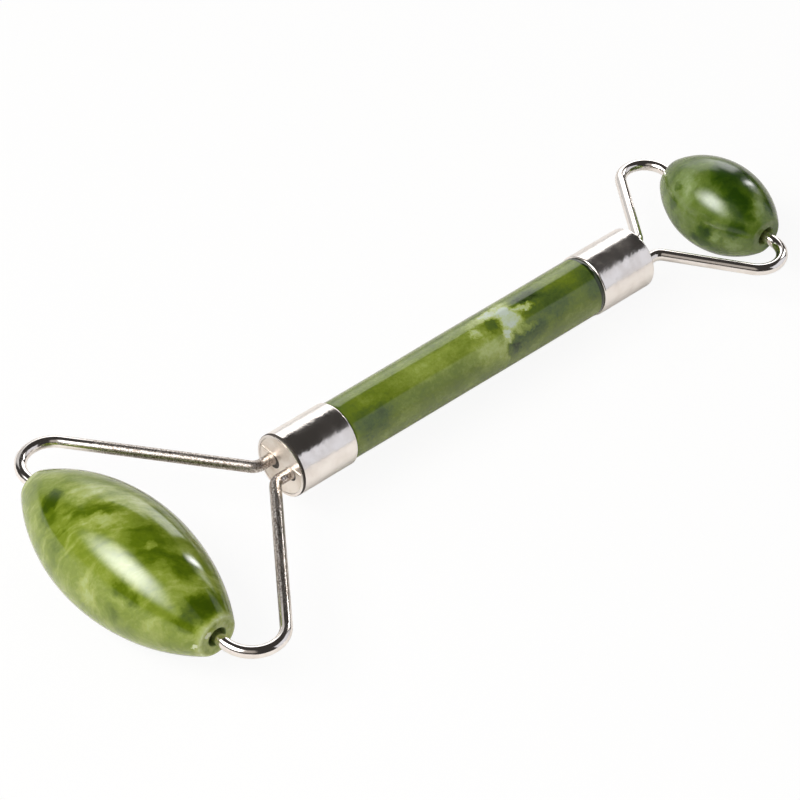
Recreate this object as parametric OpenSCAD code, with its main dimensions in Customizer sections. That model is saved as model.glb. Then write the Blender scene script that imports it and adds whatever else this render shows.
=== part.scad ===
// Double-ended stone face roller. A jade rod handle carries a plated wire yoke at each end,
// and in each yoke a barrel-shaped stone turns freely on the yoke's in-turned wire ends.
// The roller lies at rest on both stones, with the handle along X and the small stone at +X.

/* [Handle] */
// Length of rod that shows between the two ferrules
grip_length = 53.8; // [40:0.1:80]
// Rod diameter beside the large roller's ferrule
grip_d_large_end = 9.8; // [9:0.1:13]
// Rod diameter beside the small roller's ferrule
grip_d_small_end = 10.1; // [9:0.1:13]

/* [Ferrules] */
// Outside diameter of the ferrule tube
ferrule_d = 10.5; // [9.6:0.1:14]
// Wall of the ferrule tube
ferrule_wall = 0.5; // [0.35:0.05:1]
// Length of the ferrule tube
ferrule_length = 11.2; // [8:0.1:16]
// Rounding of the ferrule's outer edges
rim_round = 0.25; // [0.1:0.05:0.3]
// Thickness of the disc that closes the ferrule
disc_thickness = 1; // [0.6:0.1:2]
// Depth of the disc's face below the ferrule's rim
disc_recess = 0.1; // [0.05:0.05:0.4]
// Thickness of glue between the wire's hairpin and the rod's end
glue_cover = 1; // [0.5:0.1:2]

/* [Wire yokes] */
// Diameter of the yoke wire
wire_d = 1.9; // [1.5:0.1:2.3]
// Distance between the two legs of a yoke at the disc, centre to centre
leg_spacing = 4.2; // [2.6:0.1:5]
// Straight stretch of each leg behind the disc, up to the hairpin's bend
hairpin_straight = 0.6; // [0.2:0.1:1.5]
// Radius of the wire's middle line where a leg turns out into an arm
shoulder_bend = 2; // [1.4:0.1:3]
// Straight stretch of wire between the end of a stone and the end bend
stone_side_gap = 1.6; // [0.6:0.1:4]
// Bevel round the tip of each in-turned wire end
tip_bevel = 0.3; // [0.1:0.05:0.5]

/* [Large yoke] */
// Distance from the ferrule's rim to the large stone's axis
large_reach = 30.5; // [26:0.1:45]
// Distance from the ferrule's rim to the corner where the arms part
large_neck = 2.9; // [1.8:0.1:5]
// Radius of the wire's middle line at the end bends
large_end_bend = 5; // [3:0.1:8]

/* [Small yoke] */
// Distance from the ferrule's rim to the small stone's axis
small_reach = 20.9; // [18:0.1:35]
// Distance from the ferrule's rim to the corner where the arms part
small_neck = 3.9; // [1.8:0.1:5]
// Radius of the wire's middle line at the end bends
small_end_bend = 4.4; // [3:0.1:6]

/* [Large stone] */
// Length of the large stone along its axis
large_length = 41.7; // [30:0.1:60]
// Diameter of the large stone at its middle
large_d = 19.6; // [14:0.1:26]
// Diameter at which the large stone's barrel curve reaches its end face
large_end_d = 6.8; // [6:0.1:12]

/* [Small stone] */
// Length of the small stone along its axis
small_length = 21.2; // [19:0.1:30]
// Diameter of the small stone at its middle
small_d = 15.3; // [11:0.1:19]
// Diameter at which the small stone's barrel curve reaches its end face
small_end_d = 6.4; // [6:0.1:9]

/* [Bores and bushes] */
// Diameter of the bore through each stone
bore_d = 3.2; // [2.9:0.1:4]
// Bevel round the mouth of each bore
bore_bevel = 0.25; // [0.1:0.05:0.4]
// Rounding of the edge of each stone's end face
end_round = 0.9; // [0.5:0.1:1.2]
// Length of the bush pressed into each end of a bore
bush_length = 4.5; // [2:0.1:5]
// Depth of the bush below the stone's end face
bush_recess = 3; // [1:0.1:3.5]
// Length of wire that stands out past the inner end of its bush
axle_overrun = 0.6; // [0.3:0.1:1]

/* [Clearances] */
// Radial clearance of a turning bush on its wire end
running_gap = 0.08; // [0.03:0.01:0.1]
// Gap at a glued, soldered or pressed seat
seat_gap = 0.04; // [0.02:0.01:0.06]

/* [Hidden] */
$fn = 96;

// Spare length that lets a cut run clear of the face that it cuts through
cut_past = 1;
// Extra radius of the bends, which lap over the straight stretches and make the wire one solid
bend_swell = 0.01;
// Length by which a bend laps over the straight stretch at each of its ends
bend_lap = 0.1;

jade = "#6e8a2e";
pale_jade = "#8ba24a";
plated = "#d0cdc8";
nylon = "#ece9df";
amber_glue = "#d8c58a";

ferrule_bore = ferrule_d - 2 * ferrule_wall;
seated_d = ferrule_bore - 2 * seat_gap;
leg_y = leg_spacing / 2;
disc_inner_face = disc_recess + disc_thickness;
hairpin_start = disc_inner_face + hairpin_straight;
hairpin_depth = hairpin_start + leg_y + wire_d / 2;
plug_end = hairpin_depth + glue_cover;
spigot_length = ferrule_length - plug_end - seat_gap;
bush_bore = wire_d + 2 * running_gap;
bush_d = bore_d - 2 * seat_gap;
axle_length = bush_recess + bush_length + axle_overrun;

// Places along the handle, measured from the middle of the grip
rim_x = grip_length / 2 + ferrule_length;
large_axle_x = -rim_x - large_reach;
small_axle_x = rim_x + small_reach;

// The handle leans down towards the small stone until both stones touch the table
rest_tilt = asin((large_d - small_d) / 2 / (small_axle_x - large_axle_x));
grip_z = small_d / 2 + small_axle_x * sin(rest_tilt);
rest_min_x = large_axle_x * cos(rest_tilt) - large_d / 2;
rest_max_x = small_axle_x * cos(rest_tilt) + small_d / 2;
grip_x = -(rest_min_x + rest_max_x) / 2;

// Puts what is drawn about the middle of the grip where it lies at rest
module at_rest() {
    translate([grip_x, 0, grip_z])
        rotate([0, rest_tilt, 0])
            children();
}

// Frames whose X points outwards from a ferrule's rim, along the handle
module at_large_rim() {
    at_rest() translate([-rim_x, 0, 0]) rotate([0, 0, 180]) children();
}

module at_small_rim() {
    at_rest() translate([rim_x, 0, 0]) children();
}

// Frames on the stones' axes, with Y along the axis
module at_large_axle() {
    at_rest() translate([large_axle_x, 0, 0]) children();
}

module at_small_axle() {
    at_rest() translate([small_axle_x, 0, 0]) children();
}

// A round bar along X
module bar_x(x_from, x_to, d) {
    translate([x_from, 0, 0]) rotate([0, 90, 0]) cylinder(h = x_to - x_from, d = d);
}

// A round bar along Y
module bar_y(y_from, y_to, d) {
    translate([0, y_to, 0]) rotate([90, 0, 0]) cylinder(h = y_to - y_from, d = d);
}

// A bend of wire in the XY plane, from the X axis round through an angle
module wire_bend(radius, angle, d) {
    lap = bend_lap / radius * 180 / PI;
    rotate([0, 0, -lap]) rotate_extrude(angle = angle + 2 * lap)
        translate([radius, 0]) circle(d = d + 2 * bend_swell);
}

// The closed end of a yoke's wire behind the disc, with its two legs up to x_to
module hairpin(x_to, d) {
    translate([-hairpin_start, 0, 0]) rotate([0, 0, 90]) wire_bend(leg_y, 180, d);
    for (y = [-leg_y, leg_y])
        translate([0, y, 0]) bar_x(-hairpin_start, x_to, d);
}

// The end bend's centre, seen from the corner where an arm leaves its leg
function bend_from_corner(reach, neck, end_bend, stone_length) =
    [reach - end_bend - neck, stone_length / 2 + stone_side_gap - leg_y];

// Angle between the handle and an arm that runs from its corner straight into the end bend
function arm_lean(reach, neck, end_bend, stone_length) =
    let (to_bend = bend_from_corner(reach, neck, end_bend, stone_length))
    atan2(to_bend.y, to_bend.x) + asin(end_bend / norm(to_bend));

// Length that the shoulder bend takes from the leg and from the arm
function shoulder_setback(lean) = shoulder_bend * tan(lean / 2);

// An in-turned wire end along -Y from the end bend, with a bevelled tip
module axle(length) {
    r = wire_d / 2;
    rotate([90, 0, 0]) rotate_extrude()
        polygon([[0, 0], [r, 0], [r, length - tip_bevel], [r - tip_bevel, length], [0, length]]);
}

// One arm of a yoke on the +Y side: shoulder bend, straight arm, end bend and in-turned axle
module arm(reach, neck, end_bend, stone_length) {
    corner = [neck, leg_y];
    to_bend = bend_from_corner(reach, neck, end_bend, stone_length);
    lean = arm_lean(reach, neck, end_bend, stone_length);
    setback = shoulder_setback(lean);
    arm_end = sqrt(to_bend * to_bend - end_bend * end_bend);
    translate(corner + [-setback, shoulder_bend])
        rotate([0, 0, -90]) wire_bend(shoulder_bend, lean, wire_d);
    translate(corner) rotate([0, 0, lean]) bar_x(setback, arm_end, wire_d);
    translate(corner + to_bend) wire_bend(end_bend, 90 + lean, wire_d);
    translate(corner + to_bend + [end_bend, 0]) axle(stone_side_gap + axle_length);
}

// One length of wire: a hairpin inside the ferrule and an arm to each end of the stone
module yoke(reach, neck, end_bend, stone_length) {
    lean = arm_lean(reach, neck, end_bend, stone_length);
    color(plated) {
        hairpin(neck - shoulder_setback(lean), wire_d);
        for (side = [0, 1])
            mirror([0, side, 0]) arm(reach, neck, end_bend, stone_length);
    }
}

// Half of a barrel stone's outline: one wide arc, with a rounded edge at each end face
module barrel_outline(length, d, end_d) {
    half = length / 2;
    bulge = (d - end_d) / 2;
    arc = (half * half + bulge * bulge) / (2 * bulge);
    arc_x = d / 2 - arc;
    round_y = half - end_round;
    face_r = arc_x + sqrt(pow(arc - end_round, 2) - round_y * round_y);
    tangent_y = round_y * arc / (arc - end_round);
    intersection() {
        translate([arc_x, 0]) circle(r = arc, $fn = 360);
        translate([0, -tangent_y]) square([d, 2 * tangent_y]);
    }
    translate([0, -half]) square([face_r, length]);
    for (side = [-1, 1])
        translate([face_r, side * round_y]) circle(r = end_round);
}

// A barrel stone on the Y axis, bored through, with a bevel at each mouth
module stone(length, d, end_d) {
    rotate([90, 0, 0]) difference() {
        rotate_extrude() barrel_outline(length, d, end_d);
        cylinder(h = length + 2 * cut_past, d = bore_d, center = true);
        for (side = [0, 1])
            mirror([0, 0, side]) translate([0, 0, length / 2 - bore_bevel])
                cylinder(h = 2 * bore_bevel, d1 = bore_d, d2 = bore_d + 4 * bore_bevel);
    }
}

// A bush on the Y axis, on the -Y side, set in from the end of a stone
module bush(stone_length) {
    inner_end = -stone_length / 2 + bush_recess + bush_length;
    color(nylon) difference() {
        bar_y(inner_end - bush_length, inner_end, bush_d);
        bar_y(inner_end - bush_length - cut_past, inner_end + cut_past, bush_bore);
    }
}

// Half of the ferrule wall's outline, rim at the top, with both outer edges rounded
module ferrule_outline() {
    outer = ferrule_d / 2;
    inner = ferrule_bore / 2;
    translate([inner, 0]) square([ferrule_wall - rim_round, ferrule_length]);
    translate([inner, rim_round]) square([ferrule_wall, ferrule_length - 2 * rim_round]);
    for (y = [rim_round, ferrule_length - rim_round])
        translate([outer - rim_round, y]) circle(r = rim_round);
}

module ferrule() {
    color(plated)
        translate([-ferrule_length, 0, 0]) rotate([0, 90, 0])
            rotate_extrude() ferrule_outline();
}

// The disc that closes a ferrule, with a hole for each leg of the yoke
module end_disc() {
    color(plated) difference() {
        bar_x(-disc_inner_face, -disc_recess, seated_d);
        for (side = [-1, 1])
            translate([0, side * leg_y, 0])
                bar_x(-disc_inner_face - cut_past, cut_past, wire_d + 2 * seat_gap);
    }
}

// The glue that fills the ferrule between the disc and the rod and locks the hairpin
module glue_plug() {
    color(amber_glue) difference() {
        bar_x(-plug_end, -disc_inner_face, seated_d);
        hairpin(cut_past - disc_inner_face, wire_d + 2 * seat_gap);
    }
}

// The rod: a slightly tapered grip with a spigot at each end, ground to fit its ferrule
module handle_rod() {
    half = grip_length / 2;
    end = half + spigot_length;
    spigot_r = seated_d / 2;
    color(jade) at_rest() rotate([0, 90, 0]) rotate_extrude()
        polygon([
            [0, -end], [spigot_r, -end], [spigot_r, -half],
            [grip_d_large_end / 2, -half], [grip_d_small_end / 2, half],
            [spigot_r, half], [spigot_r, end], [0, end]
        ]);
}

module large_ferrule() {
    at_large_rim() ferrule();
}

module small_ferrule() {
    at_small_rim() ferrule();
}

module large_end_disc() {
    at_large_rim() end_disc();
}

module small_end_disc() {
    at_small_rim() end_disc();
}

module large_glue_plug() {
    at_large_rim() glue_plug();
}

module small_glue_plug() {
    at_small_rim() glue_plug();
}

module large_yoke() {
    at_large_rim() yoke(large_reach, large_neck, large_end_bend, large_length);
}

module small_yoke() {
    at_small_rim() yoke(small_reach, small_neck, small_end_bend, small_length);
}

module large_stone() {
    color(pale_jade) at_large_axle() stone(large_length, large_d, large_end_d);
}

module small_stone() {
    color(jade) at_small_axle() stone(small_length, small_d, small_end_d);
}

module large_bush_near() {
    at_large_axle() bush(large_length);
}

module large_bush_far() {
    at_large_axle() mirror([0, 1, 0]) bush(large_length);
}

module small_bush_near() {
    at_small_axle() bush(small_length);
}

module small_bush_far() {
    at_small_axle() mirror([0, 1, 0]) bush(small_length);
}

handle_rod();
large_ferrule();
small_ferrule();
large_end_disc();
small_end_disc();
large_glue_plug();
small_glue_plug();
large_yoke();
small_yoke();
large_stone();
small_stone();
large_bush_near();
large_bush_far();
small_bush_near();
small_bush_far();
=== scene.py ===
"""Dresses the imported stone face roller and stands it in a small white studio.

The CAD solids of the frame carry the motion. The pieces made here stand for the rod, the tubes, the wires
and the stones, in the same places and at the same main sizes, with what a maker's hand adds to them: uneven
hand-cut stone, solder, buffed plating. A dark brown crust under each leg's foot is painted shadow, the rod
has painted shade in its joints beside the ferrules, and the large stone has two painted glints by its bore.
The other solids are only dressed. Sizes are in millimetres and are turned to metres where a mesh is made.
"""

import logging
import math
from abc import ABC, abstractmethod
from dataclasses import dataclass
from enum import Enum
from functools import partial
from typing import Any, Callable, Mapping, Sequence

import bmesh
import bpy
import numpy as np
from mathutils import Matrix, Vector


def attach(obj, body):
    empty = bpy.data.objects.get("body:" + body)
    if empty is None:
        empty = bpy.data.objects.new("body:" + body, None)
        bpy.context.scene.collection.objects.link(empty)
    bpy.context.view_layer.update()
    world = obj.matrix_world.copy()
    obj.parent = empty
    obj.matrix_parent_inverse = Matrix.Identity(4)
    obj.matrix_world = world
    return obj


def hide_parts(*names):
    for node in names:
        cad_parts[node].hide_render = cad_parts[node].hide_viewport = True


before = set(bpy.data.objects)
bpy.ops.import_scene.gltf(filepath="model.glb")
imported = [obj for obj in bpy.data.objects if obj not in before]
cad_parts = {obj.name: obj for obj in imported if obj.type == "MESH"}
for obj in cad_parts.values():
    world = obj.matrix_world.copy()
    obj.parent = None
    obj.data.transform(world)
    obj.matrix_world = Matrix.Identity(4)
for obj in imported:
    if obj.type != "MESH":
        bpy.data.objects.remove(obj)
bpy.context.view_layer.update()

LOG = logging.getLogger("face_roller")
METRES_PER_MM = 0.001
MM_PER_METRE = 1000.0
IMAGE_WIDTH = 800
SENSOR_WIDTH = 36.0
SHARP_EDGE = math.radians(38)
# Two radii nearer than this are the same, in millimetres
SAME_RADIUS = 0.01
WHITE = "#ffffff"
# Name of the coordinates along and around a drawn wire, and across and up a card
DRAWN_UV = "drawn"
# How far red, green and blue light goes into jade, as shares of its depth
JADE_DEPTHS = (1.0, 1.3, 0.55)

Tree = bpy.types.NodeTree
Socket = bpy.types.NodeSocket
Point = tuple[float, float, float]
Edges = tuple[float, float, float, float]
Profile = Sequence[tuple[float, float]]
Trim = Callable[[np.ndarray, np.ndarray], np.ndarray]


class Axis(Enum):
    """The axis that a turned piece is turned about, in its own frame."""

    ALONG_X = "handle"
    ALONG_Y = "axle"


class End(Enum):
    """Which end of the handle a piece belongs to, as the sign of its X."""

    LARGE = -1
    SMALL = 1

    @property
    def label(self) -> str:
        """The word that the names of this end's pieces begin with."""
        return self.name.lower()


class Body(Enum):
    """The bodies of the frame."""

    HANDLE = "handle"
    LARGE_ROLLER = "large_roller"
    SMALL_ROLLER = "small_roller"


def linear(hex_colour: str) -> tuple[float, float, float, float]:
    """Turns an sRGB hex colour into linear red, green, blue and full alpha.

    Args:
        hex_colour: Six hex digits after a hash sign.

    Returns:
        The four values that a colour socket takes.
    """
    parts = [int(hex_colour[i : i + 2], 16) / 255 for i in (1, 3, 5)]
    red, green, blue = (c / 12.92 if c <= 0.04045 else ((c + 0.055) / 1.055) ** 2.4 for c in parts)
    return red, green, blue, 1.0


def add_node(
    tree: Tree,
    kind: str,
    inputs: Mapping[str | int, Any] | None = None,
    stops: Sequence[tuple[float, str]] = (),
    **settings: Any,
) -> bpy.types.Node:
    """Adds one node, with its settings, its constants and its links.

    Args:
        tree: Node tree that gets the node.
        kind: Blender's name for the kind of node.
        inputs: For each named or numbered input, a constant or the output socket to link.
        stops: Places and sRGB hex colours of a colour ramp, from low to high.
        **settings: Attributes of the node.

    Returns:
        The new node.
    """
    node = tree.nodes.new(kind)
    for name, value in settings.items():
        setattr(node, name, value)
    for key, value in (inputs or {}).items():
        if isinstance(value, Socket):
            tree.links.new(value, node.inputs[key])
        else:
            node.inputs[key].default_value = value
    for i, (place, colour) in enumerate(stops):
        ramp = node.color_ramp.elements
        # A new ramp has two stops already
        element = ramp[i] if i < 2 else ramp.new(place)
        element.position = place
        element.color = linear(colour)
    return node


def fine_noise(
    tree: Tree,
    vector: Socket,
    feature_mm: float,
    stretch: Point = (1.0, 1.0, 1.0),
    detail: float = 3.0,
    roughness: float = 0.5,
    lean_deg: Point = (0.0, 0.0, 0.0),
) -> Socket:
    """Adds a noise whose features have a real size.

    Args:
        tree: Node tree that gets the nodes.
        vector: Coordinates in millimetres.
        feature_mm: Rough width of one cloud of the noise.
        stretch: How many times longer the features are along each axis.
        detail: Octaves of finer detail.
        roughness: Share of each finer octave.
        lean_deg: Turn of the stretched features about each axis.

    Returns:
        The noise's value, about 0.5 on average.
    """
    inputs: dict[str | int, Any] = {
        "Vector": vector,
        "Rotation": [math.radians(a) for a in lean_deg],
        "Scale": [feature_mm * s for s in stretch],
    }
    mapped = add_node(tree, "ShaderNodeMapping", inputs, vector_type="TEXTURE").outputs["Vector"]
    inputs = {"Vector": mapped, "Scale": 1.0, "Detail": detail, "Roughness": roughness, "Distortion": 0.0}
    return add_node(tree, "ShaderNodeTexNoise", inputs).outputs[0]


def looked_at(tree: Tree, straight: float = 1.0, mirrored: float = 1.0) -> Socket:
    """Gives a share where a surface is looked at, and 0 where it lights others.

    Args:
        tree: Node tree of the material or world.
        straight: Share where the camera sees it.
        mirrored: Share where it is seen in a mirror or through glass.

    Returns:
        The share's output socket.
    """
    path = add_node(tree, "ShaderNodeLightPath").outputs
    inputs = {0: path["Is Glossy Ray"], 1: path["Is Transmission Ray"]}
    bent = add_node(tree, "ShaderNodeMath", inputs, operation="MAXIMUM").outputs[0]
    inputs = {0: bent, 1: mirrored}
    bent_share = add_node(tree, "ShaderNodeMath", inputs, operation="MULTIPLY").outputs[0]
    inputs = {0: path["Is Camera Ray"], 1: straight, 2: bent_share}
    return add_node(tree, "ShaderNodeMath", inputs, operation="MULTIPLY_ADD").outputs[0]


@dataclass(frozen=True)
class Finish(ABC):
    """A real material and how its surface was made.

    Attributes:
        name: The material's common name and how its surface was made.
    """

    name: str

    def material(self) -> bpy.types.Material:
        """Makes the material, or returns the one made before.

        Returns:
            The material, named for what it is.
        """
        made = bpy.data.materials.get(self.name)
        if made is not None:
            return made
        made = bpy.data.materials.new(self.name)
        made.use_nodes = True
        tree = made.node_tree
        tree.nodes.clear()
        output = add_node(tree, "ShaderNodeOutputMaterial")
        tree.links.new(self.shader(tree), output.inputs["Surface"])
        return made

    @abstractmethod
    def shader(self, tree: Tree) -> Socket:
        """Builds the finish's nodes in a material's tree and returns the shader's output."""

    @staticmethod
    def millimetres(tree: Tree) -> Socket:
        """Gives the piece's own coordinates in millimetres.

        Args:
            tree: The material's node tree.

        Returns:
            The coordinates' output socket.
        """
        place = add_node(tree, "ShaderNodeTexCoord").outputs["Object"]
        inputs = {0: place, "Scale": MM_PER_METRE}
        return add_node(tree, "ShaderNodeVectorMath", inputs, operation="SCALE").outputs[0]


@dataclass(frozen=True)
class Patch:
    """A cloud, band or vein in the stone, as a ragged ellipsoid that shifts the tone.

    Attributes:
        centre: Middle of the patch, in the piece's own millimetres.
        reach: Half lengths along the patch's own axes.
        shift: Change of tone in the middle, below 0 for darker.
        lean_deg: Turn of the patch about each axis.
        crisp: 1 fades evenly from the middle, higher values give a plateau with a sharper edge.
    """

    centre: Point
    reach: Point
    shift: float
    lean_deg: Point = (0.0, 0.0, 0.0)
    crisp: float = 1.6

    def laid_over(self, tree: Tree, ragged: Socket, tone: Socket) -> Socket:
        """Shifts the stone's tone inside the patch.

        Args:
            tree: The material's node tree.
            ragged: Coordinates in millimetres, shifted about so that the patch's edge is ragged.
            tone: The stone's tone.

        Returns:
            The shifted tone.
        """
        inputs = {
            "Vector": ragged,
            "Location": self.centre,
            "Rotation": [math.radians(a) for a in self.lean_deg],
            "Scale": self.reach,
        }
        inside = add_node(tree, "ShaderNodeMapping", inputs, vector_type="TEXTURE").outputs[0]
        fall = add_node(tree, "ShaderNodeTexGradient", {0: inside}, gradient_type="SPHERICAL").outputs["Fac"]
        inputs = {0: fall, 1: self.crisp}
        flat = add_node(tree, "ShaderNodeMath", inputs, operation="MULTIPLY", use_clamp=True).outputs[0]
        inputs = {0: flat, 1: self.shift, 2: tone}
        return add_node(tree, "ShaderNodeMath", inputs, operation="MULTIPLY_ADD").outputs[0]


@dataclass(frozen=True)
class PolishedJade(Finish):
    """Serpentine jade, sawn, ground and tumble-polished.

    It shows cloudy growth bands and dark patches a little below a wet-looking polish. Light goes a millimetre
    or so into it, which softens the shade side, and the polish leaves a faint waviness in the reflections.

    Attributes:
        tones: Colours of the stone, from the deepest tone at 0 to the palest at 1.
        patches: Clouds, bands and veins that have their own place in the stone.
        cloud_mm: Width of the clouds.
        cloud_share: How far the clouds shift the tone.
        band_mm: Width of the growth bands.
        band_stretch: How many times longer the bands are along each axis.
        band_lean_deg: Turn of the bands and streaks about each axis.
        band_share: How far the bands shift the tone.
        streak_mm: Width of the finer streaks in the bands.
        streak_stretch: How many times longer the streaks are along each axis.
        streak_share: How far the streaks shift the tone.
        mottle_mm: Width of the finest mottle, which shows all over.
        mottle_share: How far the mottle shifts the tone.
        joint_x: Distance from the rod's middle to the ferrules, or 0 on a stone that has none.
        joint_shade_mm: Width of the painted shade in the joint beside a ferrule.
        joint_shade_offset: How far the painted shade is moved towards the large roller.
        edge_r: Radius of the ground edge round a stone's end faces, or 0 where none shows.
        edge_mm: Distance from that edge over which it fades.
        edge_shift: How much paler the edge is.
        swirl_mm: Width of the swirls in clouds and bands.
        swirl_reach_mm: How far the swirls move them.
        ragged_mm: Width of the bays in the edges of patches.
        ragged_reach_mm: Depth of those bays.
        torn_mm: Width of the finer tears in the edges of patches.
        torn_reach_mm: Depth of those tears.
        base_tone: The stone's mean tone.
        subsurface: Share of the light that goes into the stone.
        depth_mm: How far it goes in.
        roughness: The polish's own roughness.
        haze_mm: Width of the duller spots in the polish.
        haze_span: Roughness of the clearest and of the dullest spots, as shares of that.
        wave_mm: Width of the waves that the tumbling leaves.
        wave_depth_mm: Height of the waves before they are softened.
        wave_strength: Share of the waves that is left.
        ior: Index of refraction.
    """

    tones: tuple[tuple[float, str], ...] = ()
    patches: tuple[Patch, ...] = ()
    cloud_mm: float = 6.0
    cloud_share: float = 0.5
    band_mm: float = 1.6
    band_stretch: Point = (5.0, 1.0, 5.0)
    band_lean_deg: Point = (0.0, 0.0, 0.0)
    band_share: float = 0.3
    streak_mm: float = 0.7
    streak_stretch: Point = (7.0, 1.0, 7.0)
    streak_share: float = 0.0
    mottle_mm: float = 0.5
    mottle_share: float = 0.16
    joint_x: float = 0.0
    joint_shade_mm: float = 0.7
    joint_shade_offset: float = 0.0
    edge_r: float = 0.0
    edge_mm: float = 0.6
    edge_shift: float = 0.36
    swirl_mm: float = 5.0
    swirl_reach_mm: float = 2.4
    ragged_mm: float = 1.4
    ragged_reach_mm: float = 0.9
    torn_mm: float = 0.5
    torn_reach_mm: float = 0.35
    base_tone: float = 0.5
    subsurface: float = 0.3
    depth_mm: float = 0.9
    roughness: float = 0.09
    haze_mm: float = 3.0
    haze_span: tuple[float, float] = (0.7, 1.6)
    wave_mm: float = 3.2
    wave_depth_mm: float = 0.2
    wave_strength: float = 0.05
    ior: float = 1.54

    def shader(self, tree: Tree) -> Socket:
        """Builds the jade's colour from clouds, bands, mottle and patches, under a polished surface.

        Args:
            tree: The material's node tree.

        Returns:
            The shader's output.
        """
        place = self.millimetres(tree)
        tone = self.tone(tree, place)
        colour = add_node(tree, "ShaderNodeValToRGB", {0: tone}, self.tones).outputs[0]
        haze = fine_noise(tree, place, self.haze_mm, detail=4.0)
        clear, dull = (self.roughness * share for share in self.haze_span)
        rough = add_node(tree, "ShaderNodeMapRange", {0: haze, 3: clear, 4: dull}).outputs[0]
        wave = fine_noise(tree, place, self.wave_mm, detail=1.0)
        depth = self.wave_depth_mm * METRES_PER_MM
        inputs = {"Strength": self.wave_strength, "Distance": depth, "Height": wave}
        waved = add_node(tree, "ShaderNodeBump", inputs).outputs[0]
        inputs = {
            "Base Color": colour,
            "Roughness": rough,
            "IOR": self.ior,
            "Subsurface Weight": self.subsurface,
            "Subsurface Radius": JADE_DEPTHS,
            "Subsurface Scale": self.depth_mm * METRES_PER_MM,
            "Normal": waved,
        }
        return add_node(tree, "ShaderNodeBsdfPrincipled", inputs).outputs[0]

    @staticmethod
    def swirl(tree: Tree, place: Socket, feature_mm: float, reach_mm: float) -> Socket:
        """Shifts coordinates about by a noise, so that what is drawn in them swirls.

        Args:
            tree: The material's node tree.
            place: Coordinates in millimetres.
            feature_mm: Width of one swirl.
            reach_mm: How far the coordinates are moved.

        Returns:
            The swirled coordinates.
        """
        inputs = {0: place, "Scale": 1 / feature_mm}
        scaled = add_node(tree, "ShaderNodeVectorMath", inputs, operation="SCALE").outputs[0]
        inputs = {"Vector": scaled, "Scale": 1.0, "Detail": 2.5, "Roughness": 0.55}
        noise = add_node(tree, "ShaderNodeTexNoise", inputs).outputs["Color"]
        inputs = {0: noise, 1: (0.5, 0.5, 0.5)}
        centred = add_node(tree, "ShaderNodeVectorMath", inputs, operation="SUBTRACT").outputs[0]
        inputs = {0: centred, 1: [2 * reach_mm] * 3, 2: place}
        return add_node(tree, "ShaderNodeVectorMath", inputs, operation="MULTIPLY_ADD").outputs[0]

    def tone(self, tree: Tree, place: Socket) -> Socket:
        """Adds up the stone's clouds, bands, mottle and patches.

        Args:
            tree: The material's node tree.
            place: Coordinates in millimetres.

        Returns:
            The tone, 0 for the deepest green and 1 for the palest.
        """
        swirled = self.swirl(tree, place, self.swirl_mm, self.swirl_reach_mm)
        ragged = self.swirl(tree, place, self.ragged_mm, self.ragged_reach_mm)
        ragged = self.swirl(tree, ragged, self.torn_mm, self.torn_reach_mm)
        grown: dict[str, Any] = {"detail": 3.0, "roughness": 0.6, "lean_deg": self.band_lean_deg}
        layers = (
            (fine_noise(tree, swirled, self.cloud_mm, detail=4.0, roughness=0.55), self.cloud_share),
            (fine_noise(tree, swirled, self.band_mm, self.band_stretch, **grown), self.band_share),
            (fine_noise(tree, swirled, self.streak_mm, self.streak_stretch, **grown), self.streak_share),
            (fine_noise(tree, place, self.mottle_mm, detail=4.0, roughness=0.7), self.mottle_share),
        )
        total: Any = self.base_tone - sum(share for _, share in layers) / 2
        for noise, share in layers:
            inputs = {0: noise, 1: share, 2: total}
            total = add_node(tree, "ShaderNodeMath", inputs, operation="MULTIPLY_ADD").outputs[0]
        for patch in self.patches:
            total = patch.laid_over(tree, ragged, total)
        if self.joint_x > 0:
            total = self.joint_painted_shade(tree, place, total)
        if self.edge_r > 0:
            total = self.ground_edge(tree, place, total)
        return total

    def joint_painted_shade(self, tree: Tree, place: Socket, tone: Socket) -> Socket:
        """Darkens the last bit beside the ferrules: painted shade in the joint between rod and ferrule.

        Args:
            tree: The material's node tree.
            place: Coordinates in millimetres, with X along the rod.
            tone: The stone's tone.

        Returns:
            The darkened tone.
        """
        along = add_node(tree, "ShaderNodeSeparateXYZ", {0: place}).outputs[0]
        inputs = {0: along, 1: self.joint_shade_offset}
        shifted = add_node(tree, "ShaderNodeMath", inputs, operation="ADD").outputs[0]
        either = add_node(tree, "ShaderNodeMath", {0: shifted}, operation="ABSOLUTE").outputs[0]
        inputs = {0: either, 1: self.joint_x - self.joint_shade_mm, 2: self.joint_x, 3: 0.0, 4: -1.0}
        painted_shade = add_node(tree, "ShaderNodeMapRange", inputs).outputs[0]
        return add_node(tree, "ShaderNodeMath", {0: tone, 1: painted_shade}, operation="ADD").outputs[0]

    def ground_edge(self, tree: Tree, place: Socket, tone: Socket) -> Socket:
        """Pales the ground edge of a stone's end faces, which the tumbling leaves a little frosted.

        Args:
            tree: The material's node tree.
            place: Coordinates in millimetres, with Y along the axle.
            tone: The stone's tone.

        Returns:
            The paler tone.
        """
        inputs = {0: place, 1: (1.0, 0.0, 1.0)}
        off_axle = add_node(tree, "ShaderNodeVectorMath", inputs, operation="MULTIPLY").outputs[0]
        radius = add_node(tree, "ShaderNodeVectorMath", {0: off_axle}, operation="LENGTH").outputs["Value"]
        inputs = {0: radius, 1: self.edge_r}
        beyond = add_node(tree, "ShaderNodeMath", inputs, operation="SUBTRACT").outputs[0]
        either = add_node(tree, "ShaderNodeMath", {0: beyond}, operation="ABSOLUTE").outputs[0]
        inputs = {0: either, 1: 0.0, 2: self.edge_mm, 3: self.edge_shift, 4: 0.0}
        frost = add_node(tree, "ShaderNodeMapRange", inputs).outputs[0]
        return add_node(tree, "ShaderNodeMath", {0: tone, 1: frost}, operation="ADD").outputs[0]


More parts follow.
